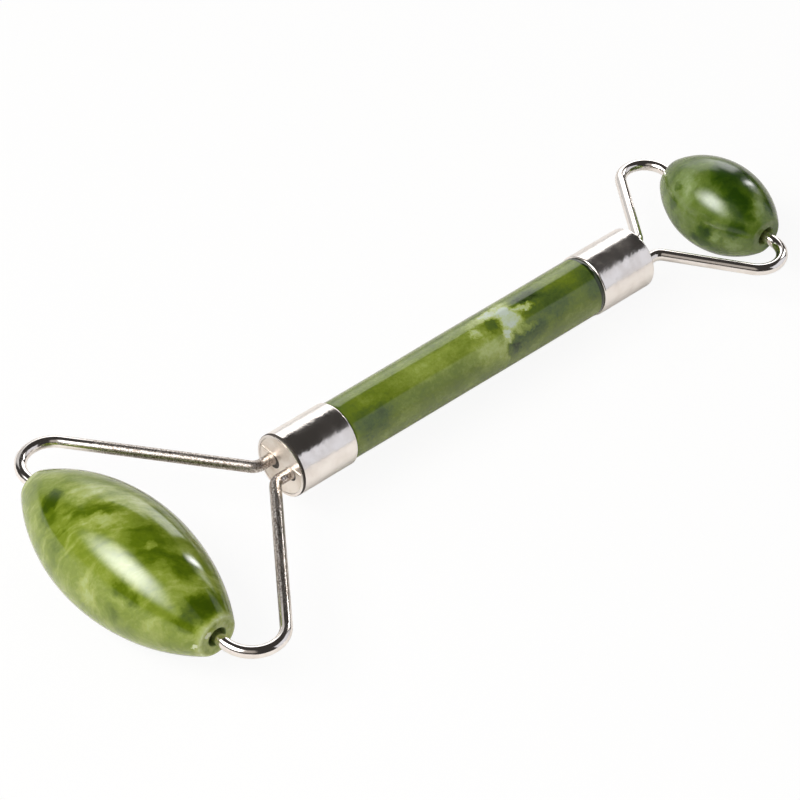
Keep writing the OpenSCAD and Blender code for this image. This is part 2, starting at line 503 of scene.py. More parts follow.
@dataclass(frozen=True)
class DrilledJade(Finish):
    """Jade as a core drill leaves it: dull, paler than the polish, with rings along the bore.

    Attributes:
        light: Stone dust in the grain.
        dark: Stone between the grains.
        grain_mm: Width of the grain.
        ring_mm: Spacing of the drill rings, drawn coarser than the real ones so that they show.
        ring_stretch: How many times longer the rings are along each axis, with Y along the bore.
        ring_depth_mm: Depth of the rings.
        depth_mm: How far light goes into the stone.
    """

    light: str = "#8a9a55"
    dark: str = "#55682a"
    grain_mm: float = 0.5
    ring_mm: float = 0.35
    ring_stretch: Point = (12.0, 1.0, 12.0)
    ring_depth_mm: float = 0.06
    depth_mm: float = 0.8

    def shader(self, tree: Tree) -> Socket:
        """Builds a dull green with drill rings across the axle.

        Args:
            tree: The material's node tree.

        Returns:
            The shader's output.
        """
        place = self.millimetres(tree)
        ring = fine_noise(tree, place, self.ring_mm, self.ring_stretch, detail=2.0)
        grain = fine_noise(tree, place, self.grain_mm, detail=4.0, roughness=0.7)
        stops = ((0.3, self.dark), (0.75, self.light))
        colour = add_node(tree, "ShaderNodeValToRGB", {0: grain}, stops).outputs[0]
        inputs = {"Strength": 0.5, "Distance": self.ring_depth_mm * METRES_PER_MM, "Height": ring}
        ringed = add_node(tree, "ShaderNodeBump", inputs).outputs[0]
        inputs = {
            "Base Color": colour,
            "Roughness": 0.5,
            "IOR": 1.56,
            "Subsurface Weight": 0.2,
            "Subsurface Radius": JADE_DEPTHS,
            "Subsurface Scale": self.depth_mm * METRES_PER_MM,
            "Normal": ringed,
        }
        return add_node(tree, "ShaderNodeBsdfPrincipled", inputs).outputs[0]


@dataclass(frozen=True)
class NickelPlate(Finish):
    """Bright nickel plating over a drawn or stamped base.

    A warm silver mirror. Marks of drawing and buffing under the plating break up the edges of what it
    mirrors, and handling leaves a faint haze that comes and goes. On the large yoke the arms are handled to a
    satin, while the bends beyond them stay bright.

    Attributes:
        colour: Clean plating.
        worn_colour: Hazy plating.
        roughness: The plating's own roughness.
        haze_mm: Width of the hazy spots.
        haze_range: Values of the noise between which the haze comes up.
        haze_span: Roughness of the clearest and of the haziest spots, as shares of the plating's own.
        line_mm: Width of the drawing or buffing lines, drawn coarser than the real ones so that they show.
        line_stretch: How many times longer the lines are along each axis.
        line_depth_mm: Depth of the lines.
        wave_mm: Width of the hollows that the buffing wheel leaves.
        wave_depth_mm: Depth of those hollows.
        uv_lines: True runs the lines along the drawn coordinates of a wire.
        satin: Roughness that handling adds on the far arm, or 0 on a piece that isn't handled.
        satin_near: Share of it on the near arm, which is handled less.
        satin_colour: Plating dulled by handling.
        satin_until: Distance out from the ferrule at which the satin ends, in millimetres.
        satin_fade: Lengths before and after that place over which it fades.
        grain_mm: Width of the specks of the satin, drawn coarser than the real ones so that they show.
        grain_range: Values of the noise between which a speck comes up.
        grain_least: Share of the satin's colour between the specks.
    """

    colour: str = "#f6f0eb"
    worn_colour: str = "#e4dbd3"
    roughness: float = 0.15
    haze_mm: float = 4.0
    haze_range: tuple[float, float] = (0.35, 0.7)
    haze_span: tuple[float, float] = (0.7, 1.7)
    line_mm: float = 0.3
    line_stretch: Point = (1.0, 12.0, 12.0)
    line_depth_mm: float = 0.004
    wave_mm: float = 1.0
    wave_depth_mm: float = 0.013
    uv_lines: bool = False
    satin: float = 0.0
    satin_near: float = 0.45
    satin_colour: str = "#887c72"
    satin_until: float = 0.0
    satin_fade: tuple[float, float] = (3.0, 1.0)
    grain_mm: float = 0.24
    grain_range: tuple[float, float] = (0.4, 0.58)
    grain_least: float = 0.25

    def shader(self, tree: Tree) -> Socket:
        """Builds the mirror, its haze, its drawing lines and its waves.

        Args:
            tree: The material's node tree.

        Returns:
            The shader's output.
        """
        place = self.millimetres(tree)
        along = place
        if self.uv_lines:
            along = add_node(tree, "ShaderNodeUVMap", uv_map=DRAWN_UV).outputs[0]
        haze = fine_noise(tree, place, self.haze_mm, detail=5.0, roughness=0.6)
        stops = ((0.42, self.colour), (0.75, self.worn_colour))
        colour = add_node(tree, "ShaderNodeValToRGB", {0: haze}, stops).outputs[0]
        clear, dull = (self.roughness * share for share in self.haze_span)
        inputs = {0: haze, 1: self.haze_range[0], 2: self.haze_range[1], 3: clear, 4: dull}
        rough = add_node(tree, "ShaderNodeMapRange", inputs).outputs[0]
        if self.satin > 0:
            colour, rough = self.handled(tree, place, colour, rough)
        line = fine_noise(tree, along, self.line_mm, self.line_stretch, detail=3.0)
        wave = fine_noise(tree, place, self.wave_mm, detail=4.0, roughness=0.55)
        normal: Socket | None = None
        for height, depth in ((line, self.line_depth_mm), (wave, self.wave_depth_mm)):
            inputs = {"Strength": 1.0, "Distance": depth * METRES_PER_MM, "Height": height}
            if normal is not None:
                inputs["Normal"] = normal
            normal = add_node(tree, "ShaderNodeBump", inputs).outputs[0]
        inputs = {"Base Color": colour, "Metallic": 1.0, "Roughness": rough, "Normal": normal}
        return add_node(tree, "ShaderNodeBsdfPrincipled", inputs).outputs[0]

    def handled(self, tree: Tree, place: Socket, colour: Socket, rough: Socket) -> tuple[Socket, Socket]:
        """Dulls and speckles the arms of a yoke, the far one more than the near one.

        Args:
            tree: The material's node tree.
            place: Coordinates in millimetres, with X out from the ferrule and Y towards the near arm.
            colour: Colour of the plating.
            rough: Roughness of the plating.

        Returns:
            The dulled colour and roughness.
        """
        outward, sideways = add_node(tree, "ShaderNodeSeparateXYZ", {0: place}).outputs[:2]
        fade_from, fade_to = self.satin_until - self.satin_fade[0], self.satin_until + self.satin_fade[1]
        inputs = {0: outward, 1: fade_from, 2: fade_to, 3: self.satin, 4: 0.0}
        dulled = add_node(tree, "ShaderNodeMapRange", inputs, interpolation_type="SMOOTHSTEP").outputs[0]
        inputs = {0: sideways, 1: -1.0, 2: 1.0, 3: 1.0, 4: self.satin_near}
        kept = add_node(tree, "ShaderNodeMapRange", inputs).outputs[0]
        inputs = {0: dulled, 1: kept, 2: rough}
        rough = add_node(tree, "ShaderNodeMath", inputs, operation="MULTIPLY_ADD").outputs[0]
        grain = fine_noise(tree, place, self.grain_mm, detail=2.0, roughness=0.6)
        # What dulls is already times the satin, so the specks' share of colour is over it
        least, most = self.grain_least / self.satin, 1 / self.satin
        inputs = {0: grain, 1: self.grain_range[0], 2: self.grain_range[1], 3: least, 4: most}
        speckled = add_node(tree, "ShaderNodeMapRange", inputs).outputs[0]
        inputs = {0: dulled, 1: speckled}
        share = add_node(tree, "ShaderNodeMath", inputs, operation="MULTIPLY").outputs[0]
        inputs = {0: share, 6: colour, 7: linear(self.satin_colour)}
        colour = add_node(tree, "ShaderNodeMix", inputs, data_type="RGBA").outputs[2]
        return colour, rough


@dataclass(frozen=True)
class DarkBrownCrust(Finish):
    """A dull, blotchy dark brown crust. Under the legs' feet it is painted shadow of the legs on the discs,
    and round the large rim it draws a dark band.

    Attributes:
        light: Thin crust.
        dark: Thick crust.
        blotch_mm: Width of the blotches.
    """

    light: str = "#4e443b"
    dark: str = "#211b16"
    blotch_mm: float = 0.4

    def shader(self, tree: Tree) -> Socket:
        """Builds a dull, blotchy brown.

        Args:
            tree: The material's node tree.

        Returns:
            The shader's output.
        """
        blotch = fine_noise(tree, self.millimetres(tree), self.blotch_mm, detail=4.0)
        stops = ((0.35, self.dark), (0.7, self.light))
        colour = add_node(tree, "ShaderNodeValToRGB", {0: blotch}, stops).outputs[0]
        inputs = {"Base Color": colour, "Roughness": 0.55}
        return add_node(tree, "ShaderNodeBsdfPrincipled", inputs).outputs[0]


@dataclass(frozen=True)
class CastEpoxy(Finish):
    """Amber epoxy glue, poured and left to set: glossy, with tiny bubbles.

    Attributes:
        colour: Clear glue.
        bubble_colour: Glue with air in it.
        bubble_mm: Spacing of the bubbles.
    """

    colour: str = "#c9b06a"
    bubble_colour: str = "#e2d3a2"
    bubble_mm: float = 0.5

    def shader(self, tree: Tree) -> Socket:
        """Builds an amber body with pale bubbles under a poured skin.

        Args:
            tree: The material's node tree.

        Returns:
            The shader's output.
        """
        inputs = {"Vector": self.millimetres(tree), "Scale": 1 / self.bubble_mm}
        bubble = add_node(tree, "ShaderNodeTexVoronoi", inputs).outputs["Distance"]
        stops = ((0.12, self.bubble_colour), (0.22, self.colour))
        colour = add_node(tree, "ShaderNodeValToRGB", {0: bubble}, stops).outputs[0]
        inputs = {
            "Base Color": colour,
            "Roughness": 0.18,
            "IOR": 1.55,
            "Subsurface Weight": 0.4,
            "Subsurface Radius": (1.2, 0.8, 0.3),
            "Subsurface Scale": METRES_PER_MM,
        }
        return add_node(tree, "ShaderNodeBsdfPrincipled", inputs).outputs[0]


@dataclass(frozen=True)
class TurnedNylon(Finish):
    """Off-white nylon rod, turned on a lathe: satin, with fine tool rings.

    Attributes:
        light: Tops of the rings.
        dark: Bottoms of the rings.
        ring_mm: Spacing of the tool rings, drawn coarser than the real ones so that they show.
        ring_stretch: How many times longer the rings are along each axis, with Y along the axle.
        ring_depth_mm: Depth of the rings.
        depth_mm: How far light goes into the nylon.
    """

    light: str = "#ece8dc"
    dark: str = "#d6d0c0"
    ring_mm: float = 0.15
    ring_stretch: Point = (20.0, 1.0, 20.0)
    ring_depth_mm: float = 0.02
    depth_mm: float = 0.5

    def shader(self, tree: Tree) -> Socket:
        """Builds a satin off-white with tool rings across the axle.

        Args:
            tree: The material's node tree.

        Returns:
            The shader's output.
        """
        ring = fine_noise(tree, self.millimetres(tree), self.ring_mm, self.ring_stretch, detail=1.0)
        stops = ((0.35, self.dark), (0.65, self.light))
        colour = add_node(tree, "ShaderNodeValToRGB", {0: ring}, stops).outputs[0]
        inputs = {"Strength": 0.4, "Distance": self.ring_depth_mm * METRES_PER_MM, "Height": ring}
        ringed = add_node(tree, "ShaderNodeBump", inputs).outputs[0]
        inputs = {
            "Base Color": colour,
            "Roughness": 0.42,
            "IOR": 1.53,
            "Subsurface Weight": 0.15,
            "Subsurface Scale": self.depth_mm * METRES_PER_MM,
            "Normal": ringed,
        }
        return add_node(tree, "ShaderNodeBsdfPrincipled", inputs).outputs[0]


@dataclass(frozen=True)
class WhiteBoard(Finish):
    """Matt white board, the studio's floor: shows white, and keeps a share of the object's soft shadow.

    Attributes:
        colour: Colour of the board under the lamps.
        glow: Share of plain white where the camera sees the board.
        mirrored_glow: Share of plain white where a mirror sees it.
        tooth_mm: Width of the sprayed coat's tooth.
        tooth_depth_mm: Depth of the tooth.
    """

    colour: str = "#f7f4f1"
    glow: float = 0.92
    mirrored_glow: float = 0.05
    tooth_mm: float = 0.8
    tooth_depth_mm: float = 0.02

    def shader(self, tree: Tree) -> Socket:
        """Builds a diffuse board that also glows white where it is looked at, straight or in a mirror.

        Args:
            tree: The material's node tree.

        Returns:
            The shader's output.
        """
        tooth = fine_noise(tree, self.millimetres(tree), self.tooth_mm, detail=3.0)
        inputs = {"Strength": 0.1, "Distance": self.tooth_depth_mm * METRES_PER_MM, "Height": tooth}
        sprayed = add_node(tree, "ShaderNodeBump", inputs).outputs[0]
        inputs = {"Color": linear(self.colour), "Normal": sprayed}
        board = add_node(tree, "ShaderNodeBsdfDiffuse", inputs).outputs[0]
        inputs = {"Color": linear(WHITE), "Strength": 1.0}
        white = add_node(tree, "ShaderNodeEmission", inputs).outputs[0]
        inputs = {0: looked_at(tree, self.glow, self.mirrored_glow), 1: board, 2: white}
        return add_node(tree, "ShaderNodeMixShader", inputs).outputs[0]


@dataclass(frozen=True)
class StudioCard(Finish):
    """A lit or dark card that only mirrors see, which gives metal and polished stone something to show.

    Attributes:
        colour: Colour of the card.
        strength: Its glow, 1 for white.
        soft: Share of its width or height over which its first, last, bottom and top edge fade.
    """

    colour: str = WHITE
    strength: float = 1.0
    soft: Edges = (0.0, 0.0, 0.0, 0.0)

    def shader(self, tree: Tree) -> Socket:
        """Builds a glow that fades to clear towards the card's edges.

        Args:
            tree: The material's node tree.

        Returns:
            The shader's output.
        """
        inputs = {"Color": linear(self.colour), "Strength": self.strength}
        lit = add_node(tree, "ShaderNodeEmission", inputs).outputs[0]
        if not any(self.soft):
            return lit
        sheet = add_node(tree, "ShaderNodeUVMap", uv_map=DRAWN_UV).outputs[0]
        across, upward = add_node(tree, "ShaderNodeSeparateXYZ", {0: sheet}).outputs[:2]
        share: Any = 1.0
        edges = ((across, 0.0, 1.0), (across, 1.0, -1.0), (upward, 0.0, 1.0), (upward, 1.0, -1.0))
        for (side, edge, inward), soft in zip(edges, self.soft):
            if soft > 0:
                inputs = {0: side, 1: edge, 2: edge + inward * soft, 3: 0.0, 4: 1.0}
                faded = add_node(tree, "ShaderNodeMapRange", inputs, interpolation_type="SMOOTHSTEP")
                inputs = {0: faded.outputs[0], 1: share}
                share = add_node(tree, "ShaderNodeMath", inputs, operation="MULTIPLY").outputs[0]
        clear = add_node(tree, "ShaderNodeBsdfTransparent").outputs[0]
        return add_node(tree, "ShaderNodeMixShader", {0: share, 1: clear, 2: lit}).outputs[0]


@dataclass
class MeshParts:
    """Vertices and faces on their way to a mesh.

    Attributes:
        places: One row of X, Y and Z per vertex, in millimetres.
        faces: Vertex numbers of each face.
        loops_uv: Millimetres along and around a drawn piece for each corner of each face, if it has them.
        second: Numbers of the faces that take the second finish.
    """

    places: np.ndarray
    faces: list[tuple[int, ...]]
    loops_uv: list[tuple[float, float]] | None = None
    second: frozenset[int] = frozenset()

    def build(
        self,
        name: str,
        place: Matrix,
        finishes: Sequence[Finish],
        body: Body,
        slot: str,
        stands_for: str | None = None,
    ) -> None:
        """Makes the object, dresses it and hands it to the frame.

        Args:
            name: Name of the piece.
            place: Where the piece's own frame lies in the row frame, in metres.
            finishes: The finish, and a second one where some faces differ.
            body: Body that the piece rides on.
            slot: The record's material slot; not used.
            stands_for: CAD node that the piece is shown instead of, if any.
        """
        mesh = bpy.data.meshes.new(name)
        mesh.from_pydata((self.places * METRES_PER_MM).tolist(), [], self.faces)
        if self.loops_uv is not None:
            layer = mesh.uv_layers.new(name=DRAWN_UV)
            layer.data.foreach_set("uv", np.array(self.loops_uv, np.float32).ravel())
        for finish in finishes:
            mesh.materials.append(finish.material())
        for number in self.second:
            mesh.polygons[number].material_index = 1
        soft = bmesh.new()
        soft.from_mesh(mesh)
        bmesh.ops.recalc_face_normals(soft, faces=soft.faces[:])
        soft.to_mesh(mesh)
        soft.free()
        mesh.shade_smooth()
        mesh.set_sharp_from_angle(angle=SHARP_EDGE)
        piece = bpy.data.objects.new(name, mesh)
        bpy.context.scene.collection.objects.link(piece)
        piece.matrix_world = place
        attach(piece, body.value)
        if stands_for is not None:
            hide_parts(stands_for)
        LOG.info("%s: %d faces on %s", name, len(mesh.polygons), body.value)


def revolve(
    profile: Profile,
    axis: Axis,
    closed: bool = True,
    turns: int = 192,
    trim: Trim | None = None,
    second_rows: range = range(0),
) -> MeshParts:
    """Turns a profile about an axis.

    Args:
        profile: Place along the axis and radius of each row, in order.
        axis: Axis of the piece's own frame to turn about.
        closed: True joins the last row to the first, False closes both ends with a flat face.
        turns: Faces round the axis.
        trim: Gives how much is taken off the radius, from the places along the axis and the angles.
        second_rows: Rows of faces that take the second finish.

    Returns:
        The turned surface.
    """
    angles = np.linspace(0, 2 * math.pi, turns, endpoint=False)
    rows = np.array(profile, float)
    along, angle = np.meshgrid(rows[:, 0], angles, indexing="ij")
    radius = np.repeat(rows[:, 1:], turns, axis=1)
    if trim is not None:
        radius = radius - trim(along, angle)
    across, up = radius * np.sin(angle), radius * np.cos(angle)
    if axis is Axis.ALONG_X:
        places = np.stack([along, -across, up], axis=2)
    else:
        places = np.stack([across, along, up], axis=2)
    count = len(rows)
    faces: list[tuple[int, ...]] = []
    second: list[int] = []
    for i in range(count if closed else count - 1):
        here, there = i * turns, (i + 1) % count * turns
        for j in range(turns):
            k = (j + 1) % turns
            if i in second_rows:
                second.append(len(faces))
            faces.append((here + j, there + j, there + k, here + k))
    if not closed:
        faces.append(tuple(range(turns)))
        faces.append(tuple((count - 1) * turns + j for j in range(turns)))
    return MeshParts(places.reshape(-1, 3), faces, second=frozenset(second))


def sweep(line: np.ndarray, radii: np.ndarray, sides: int = 28) -> MeshParts:
    """Draws a round wire along a line that lies in the XY plane.

    Args:
        line: X and Y of each point of the wire's middle line.
        radii: The wire's radius at each point.
        sides: Faces round the wire.

    Returns:
        The wire's surface, with its length and girth as drawn coordinates.
    """
    heading = np.gradient(line, axis=0)
    heading /= np.linalg.norm(heading, axis=1)[:, None]
    beside = np.stack([-heading[:, 1], heading[:, 0]], axis=1)
    angles = np.linspace(0, 2 * math.pi, sides, endpoint=False)
    flat = line[:, None, :] + beside[:, None, :] * (radii[:, None] * np.cos(angles))[:, :, None]
    places = np.concatenate([flat, (radii[:, None] * np.sin(angles))[:, :, None]], axis=2)
    length = np.concatenate([[0.0], np.cumsum(np.linalg.norm(np.diff(line, axis=0), axis=1))])
    girth = 2 * math.pi * float(radii.max()) / sides
    faces: list[tuple[int, ...]] = []
    drawn: list[tuple[float, float]] = []
    for i in range(len(line) - 1):
        for j in range(sides):
            k = (j + 1) % sides
            faces.append((i * sides + j, (i + 1) * sides + j, (i + 1) * sides + k, i * sides + k))
            left, right = j * girth, (j + 1) * girth
            drawn += [(length[i], left), (length[i + 1], left), (length[i + 1], right), (length[i], right)]
    for i in (0, len(line) - 1):
        faces.append(tuple(i * sides + j for j in range(sides)))
        drawn += [(length[i], j * girth) for j in range(sides)]
    return MeshParts(places.reshape(-1, 3), faces, loops_uv=drawn)


def arc(
    centre: tuple[float, float], radius: float, first_deg: float, last_deg: float, count: int
) -> np.ndarray:
    """Gives points on an arc.

    Args:
        centre: Centre of the arc.
        radius: Radius of the arc.
        first_deg: Angle of the first point.
        last_deg: Angle of the last point.
        count: Number of points.

    Returns:
        One row of X and Y per point.
    """
    angles = np.radians(np.linspace(first_deg, last_deg, count))
    return np.array(centre) + radius * np.stack([np.cos(angles), np.sin(angles)], axis=1)


def dress_solid(node: str, finish: Finish) -> None:
    """Gives a CAD solid that shows as it is its finish.

    Args:
        node: Name of the CAD node.
        finish: Finish to give it.
    """
    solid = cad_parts[node]
    solid.data.materials.clear()
    solid.data.materials.append(finish.material())
    LOG.info("%s: CAD solid, dressed", node)


@dataclass(frozen=True)
class Layout:
    """The sizes that pieces share, and how the roller lies at rest on its two stones.

    Attributes:
        grip_length: Length of the rod between the ferrules.
        ferrule_length: Length of a ferrule.
        wire_d: Diameter of the yokes' wire.
        leg_spacing: Distance between the two legs of a yoke, where they leave the ferrule.
        large_reach: Distance from the large ferrule's rim to the large stone's axle.
        small_reach: The same at the small end.
        large_length: Length of the large stone.
        small_length: Length of the small stone.
        large_d: Diameter of the large stone.
        small_d: Diameter of the small stone.
    """

    grip_length: float = 53.8
    ferrule_length: float = 11.2
    wire_d: float = 1.9
    leg_spacing: float = 4.2
    large_reach: float = 30.5
    small_reach: float = 20.9
    large_length: float = 41.7
    small_length: float = 21.2
    large_d: float = 19.6
    small_d: float = 15.3

    @property
    def rim_x(self) -> float:
        """Distance from the grip's middle to a ferrule's rim."""
        return self.grip_length / 2 + self.ferrule_length

    def axle_x(self, end: End) -> float:
        """Returns where a stone's axle crosses the handle's line."""
        reach = self.large_reach if end is End.LARGE else self.small_reach
        return end.value * (self.rim_x + reach)

    def rest(self) -> Matrix:
        """Gives the handle's frame as it lies at rest.

        Returns:
            The matrix from the handle's frame, in metres, to the row frame.
        """
        large_x, small_x = self.axle_x(End.LARGE), self.axle_x(End.SMALL)
        tilt = math.asin((self.large_d - self.small_d) / 2 / (small_x - large_x))
        lift = self.small_d / 2 + small_x * math.sin(tilt)
        ends = large_x * math.cos(tilt) - self.large_d / 2 + small_x * math.cos(tilt) + self.small_d / 2
        shift = Vector((-ends / 2, 0, lift)) * METRES_PER_MM
        return Matrix.Translation(shift) @ Matrix.Rotation(tilt, 4, "Y")

    def at_axle(self, end: End) -> Matrix:
        """Returns the frame on a stone's axle, level with the table, with Y along the axle."""
        middle = self.rest() @ Vector((self.axle_x(end) * METRES_PER_MM, 0, 0))
        return Matrix.Translation(middle)

    def at_rim(self, end: End) -> Matrix:
        """Returns the frame on a ferrule's rim, with X pointing outwards along the handle."""
        turn = Matrix.Rotation(math.pi if end is End.LARGE else 0.0, 4, "Z")
        return self.rest() @ Matrix.Translation((end.value * self.rim_x * METRES_PER_MM, 0, 0)) @ turn


@dataclass(frozen=True)
class StoneRoller:
    """A barrel-shaped stone that turns on the yoke's wire ends, with a nylon bush in each end of its bore.

    Attributes:
        end: Which end of the handle it belongs to.
        body: Body that it rides on.
        length: Length of the stone.
        d: Diameter in the middle.
        end_d: Diameter that the barrel runs out to at its ends, before they are rounded.
        polish: Finish of the barrel.
        drilled: Finish of the bore.
        nylon: Finish of the bushes.
        far_slim: How much was ground off the radius at the far end.
        far_short: How much was ground off the length at the far end.
        unevenness: About how far the barrel's surface wanders.
        end_round: Radius of the rounded edge at each end.
        bore_d: Diameter of the bore.
        bore_bevel: Width of the worn bevel round the bore's mouths.
        chip: Depth of the chips in that bevel.
        barrel_rows: Rows of points along the barrel.
        edge_rows: Rows of points round an edge.
        face_steps: Steps across an end face.
        bore_rows: Rows of points along the bore.
    """

    end: End
    body: Body
    length: float
    d: float
    end_d: float
    polish: PolishedJade
    drilled: DrilledJade
    nylon: TurnedNylon
    far_slim: float = 0.0
    far_short: float = 0.0
    unevenness: float = 0.035
    end_round: float = 0.9
    bore_d: float = 3.2
    bore_bevel: float = 0.14
    chip: float = 0.07
    barrel_rows: int = 141
    edge_rows: int = 14
    face_steps: int = 4
    bore_rows: int = 34

    @property
    def mouth_r(self) -> float:
        """Radius of the bore's mouths, outside the bevel."""
        return self.bore_d / 2 + self.bore_bevel

    def profile(self) -> tuple[list[tuple[float, float]], range]:
        """Draws the stone's outline, out along the barrel and back through the bore.

        Returns:
            Place along the axle and radius of each row, and the rows of the drilled bore.
        """
        half, bulge = self.length / 2, (self.d - self.end_d) / 2
        radius = (half * half + bulge * bulge) / (2 * bulge)
        middle = self.d / 2 - radius
        round_y = half - self.end_round
        face_r = middle + math.sqrt((radius - self.end_round) ** 2 - round_y * round_y)
        lean = math.degrees(math.asin(round_y / (radius - self.end_round)))
        barrel = [(y, r) for r, y in arc((middle, 0), radius, -lean, lean, self.barrel_rows)]
        edge = [(y, r) for r, y in arc((face_r, round_y), self.end_round, lean, 90, self.edge_rows)[1:]]
        steps = range(1, self.face_steps)
        face = [(half, face_r + (self.mouth_r - face_r) * k / self.face_steps) for k in steps]
        # The bevel is worn round: half way in, it has lost more than half of its width
        worn = (half - self.bore_bevel * 0.5, self.mouth_r - self.bore_bevel * 0.6)
        mouth = [(half, self.mouth_r), worn]
        inner = half - self.bore_bevel
        bore = [(y, self.bore_d / 2) for y in np.linspace(inner, -inner, self.bore_rows)]
        near = [(-y, r) for y, r in reversed(edge + face + mouth)]
        rows = near + barrel + edge + face + mouth + bore
        bore_from = len(rows) - len(bore) - 1
        return rows, range(bore_from, len(rows))

    def trim(self, radii: np.ndarray, along: np.ndarray, angle: np.ndarray) -> np.ndarray:
        """Gives what the cutter's hand took off the barrel, and the chips at the bore's mouths.

        Args:
            radii: Radius of each row of the outline.
            along: Place along the axle of each point.
            angle: Angle of each point round the axle.

        Returns:
            How much shorter each radius is, below 0 where a chip widens a mouth.
        """
        share = along / (self.length / 2)
        # Two and three broad lobes that twist along the stone, with five finer ripples over them
        lobes = 2 + np.sin(2 * angle + 0.9 + 0.8 * share) + np.sin(3 * angle - 2.1 * share + 0.4)
        ripples = 1 + np.sin(5 * angle + 5.3 * share) * np.cos(7.1 * share + angle)
        far = np.clip(share, 0, 1)
        cut = self.unevenness * (lobes / 2 + 0.3 * ripples) + self.far_slim * far * far
        # Uneven waves round the mouth, of which only the crests are chips
        chips = np.sin(4 * angle + 0.6) * np.sin(9 * angle + 1.9) + 0.6 * np.sin(17 * angle)
        outside = (radii > self.mouth_r + SAME_RADIUS)[:, None]
        at_mouth = (np.abs(radii - self.mouth_r) < SAME_RADIUS)[:, None]
        return np.where(outside, cut, 0.0) - np.where(at_mouth, self.chip * np.clip(chips, 0, 1), 0.0)

    def stone(self, layout: Layout) -> None:
        """Cuts and polishes the stone, and chips the mouths of its bore.

        Args:
            layout: Where the pieces lie.
        """
        rows, bore_rows = self.profile()
        trim = partial(self.trim, np.array([r for _, r in rows]))
        parts = revolve(rows, Axis.ALONG_Y, trim=trim, second_rows=bore_rows)
        far = np.clip(parts.places[:, 1] / (self.length / 2), 0, 1)
        parts.places[:, 1] -= self.far_short * far**4
        name = self.end.label + "_stone"
        finishes = (self.polish, self.drilled)
        parts.build(name + "_cut", layout.at_axle(self.end), finishes, self.body, name + "_jade", name)

    def build(self, layout: Layout) -> None:
        """Makes the stone and dresses its bushes, whose solids show as they are.

        Args:
            layout: Where the pieces lie.
        """
        self.stone(layout)
        for side in ("near", "far"):
            dress_solid(f"{self.end.label}_bush_{side}", self.nylon)


@dataclass(frozen=True)
class WireYoke:
    """One length of plated wire: a hairpin in the ferrule, two arms, two end bends and two in-turned ends.

    Attributes:
        end: Which end of the handle it belongs to.
        reach: Distance from the ferrule's rim to the in-turned ends.
        neck: Distance from the rim to the corner where the legs turn into the arms.
        end_bend: Radius of the end bends.
        stone_length: Length of the stone between the in-turned ends.
        plate: Finish of the wire.
        hairpin_start: Distance from the rim in to the hairpin's centre.
        shoulder_bend: Radius of the bends between legs and arms.
        stone_side_gap: Distance from the stone's end face to the end bends' centre.
        axle_length: Length of each in-turned end inside the stone.
        tip_bevel: Bevel of the tips.
        step: Rough distance between points on a straight run.
    """

    end: End
    reach: float
    neck: float
    end_bend: float
    stone_length: float
    plate: NickelPlate
    hairpin_start: float = 1.7
    shoulder_bend: float = 2.0
    stone_side_gap: float = 1.6
    axle_length: float = 8.1
    tip_bevel: float = 0.3
    step: float = 0.5

    def half_line(self, leg_y: float) -> np.ndarray:
        """Follows the wire's middle line from the hairpin's apex to the tip on the +Y side.

        Args:
            leg_y: Distance of the leg from the handle's middle line.

        Returns:
            One row of X and Y per point, from the ferrule's rim.
        """
        corner = np.array([self.neck, leg_y])
        centre = np.array([self.reach - self.end_bend, self.stone_length / 2 + self.stone_side_gap])
        to_bend = centre - corner
        span = float(np.linalg.norm(to_bend))
        lean = math.atan2(to_bend[1], to_bend[0]) + math.asin(self.end_bend / span)
        lean_deg = math.degrees(lean)
        setback = self.shoulder_bend * math.tan(lean / 2)
        shoulder = (self.neck - setback, leg_y + self.shoulder_bend)
        tip = (self.reach, self.stone_length / 2 - self.axle_length)
        # The tip is taken as a last bend of one point
        bends = [
            arc((-self.hairpin_start, 0), leg_y, 180, 90, count=12),
            arc(shoulder, self.shoulder_bend, -90, lean_deg - 90, count=16),
            arc((float(centre[0]), float(centre[1])), self.end_bend, lean_deg + 90, 0, count=56),
            np.array([tip]),
        ]
        line = bends[:1]
        for bend in bends[1:]:
            start, stop = line[-1][-1], bend[0]
            count = max(2, int(np.linalg.norm(stop - start) / self.step))
            line.append(np.linspace(start, stop, count + 1)[1:-1])
            line.append(bend)
        return np.concatenate(line)

    def build(self, layout: Layout) -> None:
        """Draws the wire and bevels its tips.

        Args:
            layout: Where the pieces lie.
        """
        half = self.half_line(layout.leg_spacing / 2)
        line = np.concatenate([half[:0:-1] * np.array([1, -1]), half])
        before = line[0] + (line[1] - line[0]) * self.tip_bevel / np.linalg.norm(line[1] - line[0])
        after = line[-1] + (line[-2] - line[-1]) * self.tip_bevel / np.linalg.norm(line[-2] - line[-1])
        line = np.concatenate([line[:1], [before], line[1:-1], [after], line[-1:]])
        radii = np.full(len(line), layout.wire_d / 2)
        radii[[0, -1]] -= self.tip_bevel
        name = self.end.label + "_yoke"
        place = layout.at_rim(self.end)
        sweep(line, radii).build(name + "_drawn", place, (self.plate,), Body.HANDLE, "plated_wire", name)


@dataclass(frozen=True)
class LegShadowMark:
    """A thin dark brown crust under a leg's foot, moved down and to one side: painted shadow of the leg on
    the disc.

    Attributes:
        width: How far it reaches past the solder.
        sideways: How far it is moved towards the near side.
        down: How far it is moved down the disc.
        height: Its height at the leg.
        edge_height: Its height just inside its edge.
        edge_width: Width of its sloping edge.
    """

    width: float
    sideways: float
    down: float
    height: float = 0.03
    edge_height: float = 0.02
    edge_width: float = 0.06


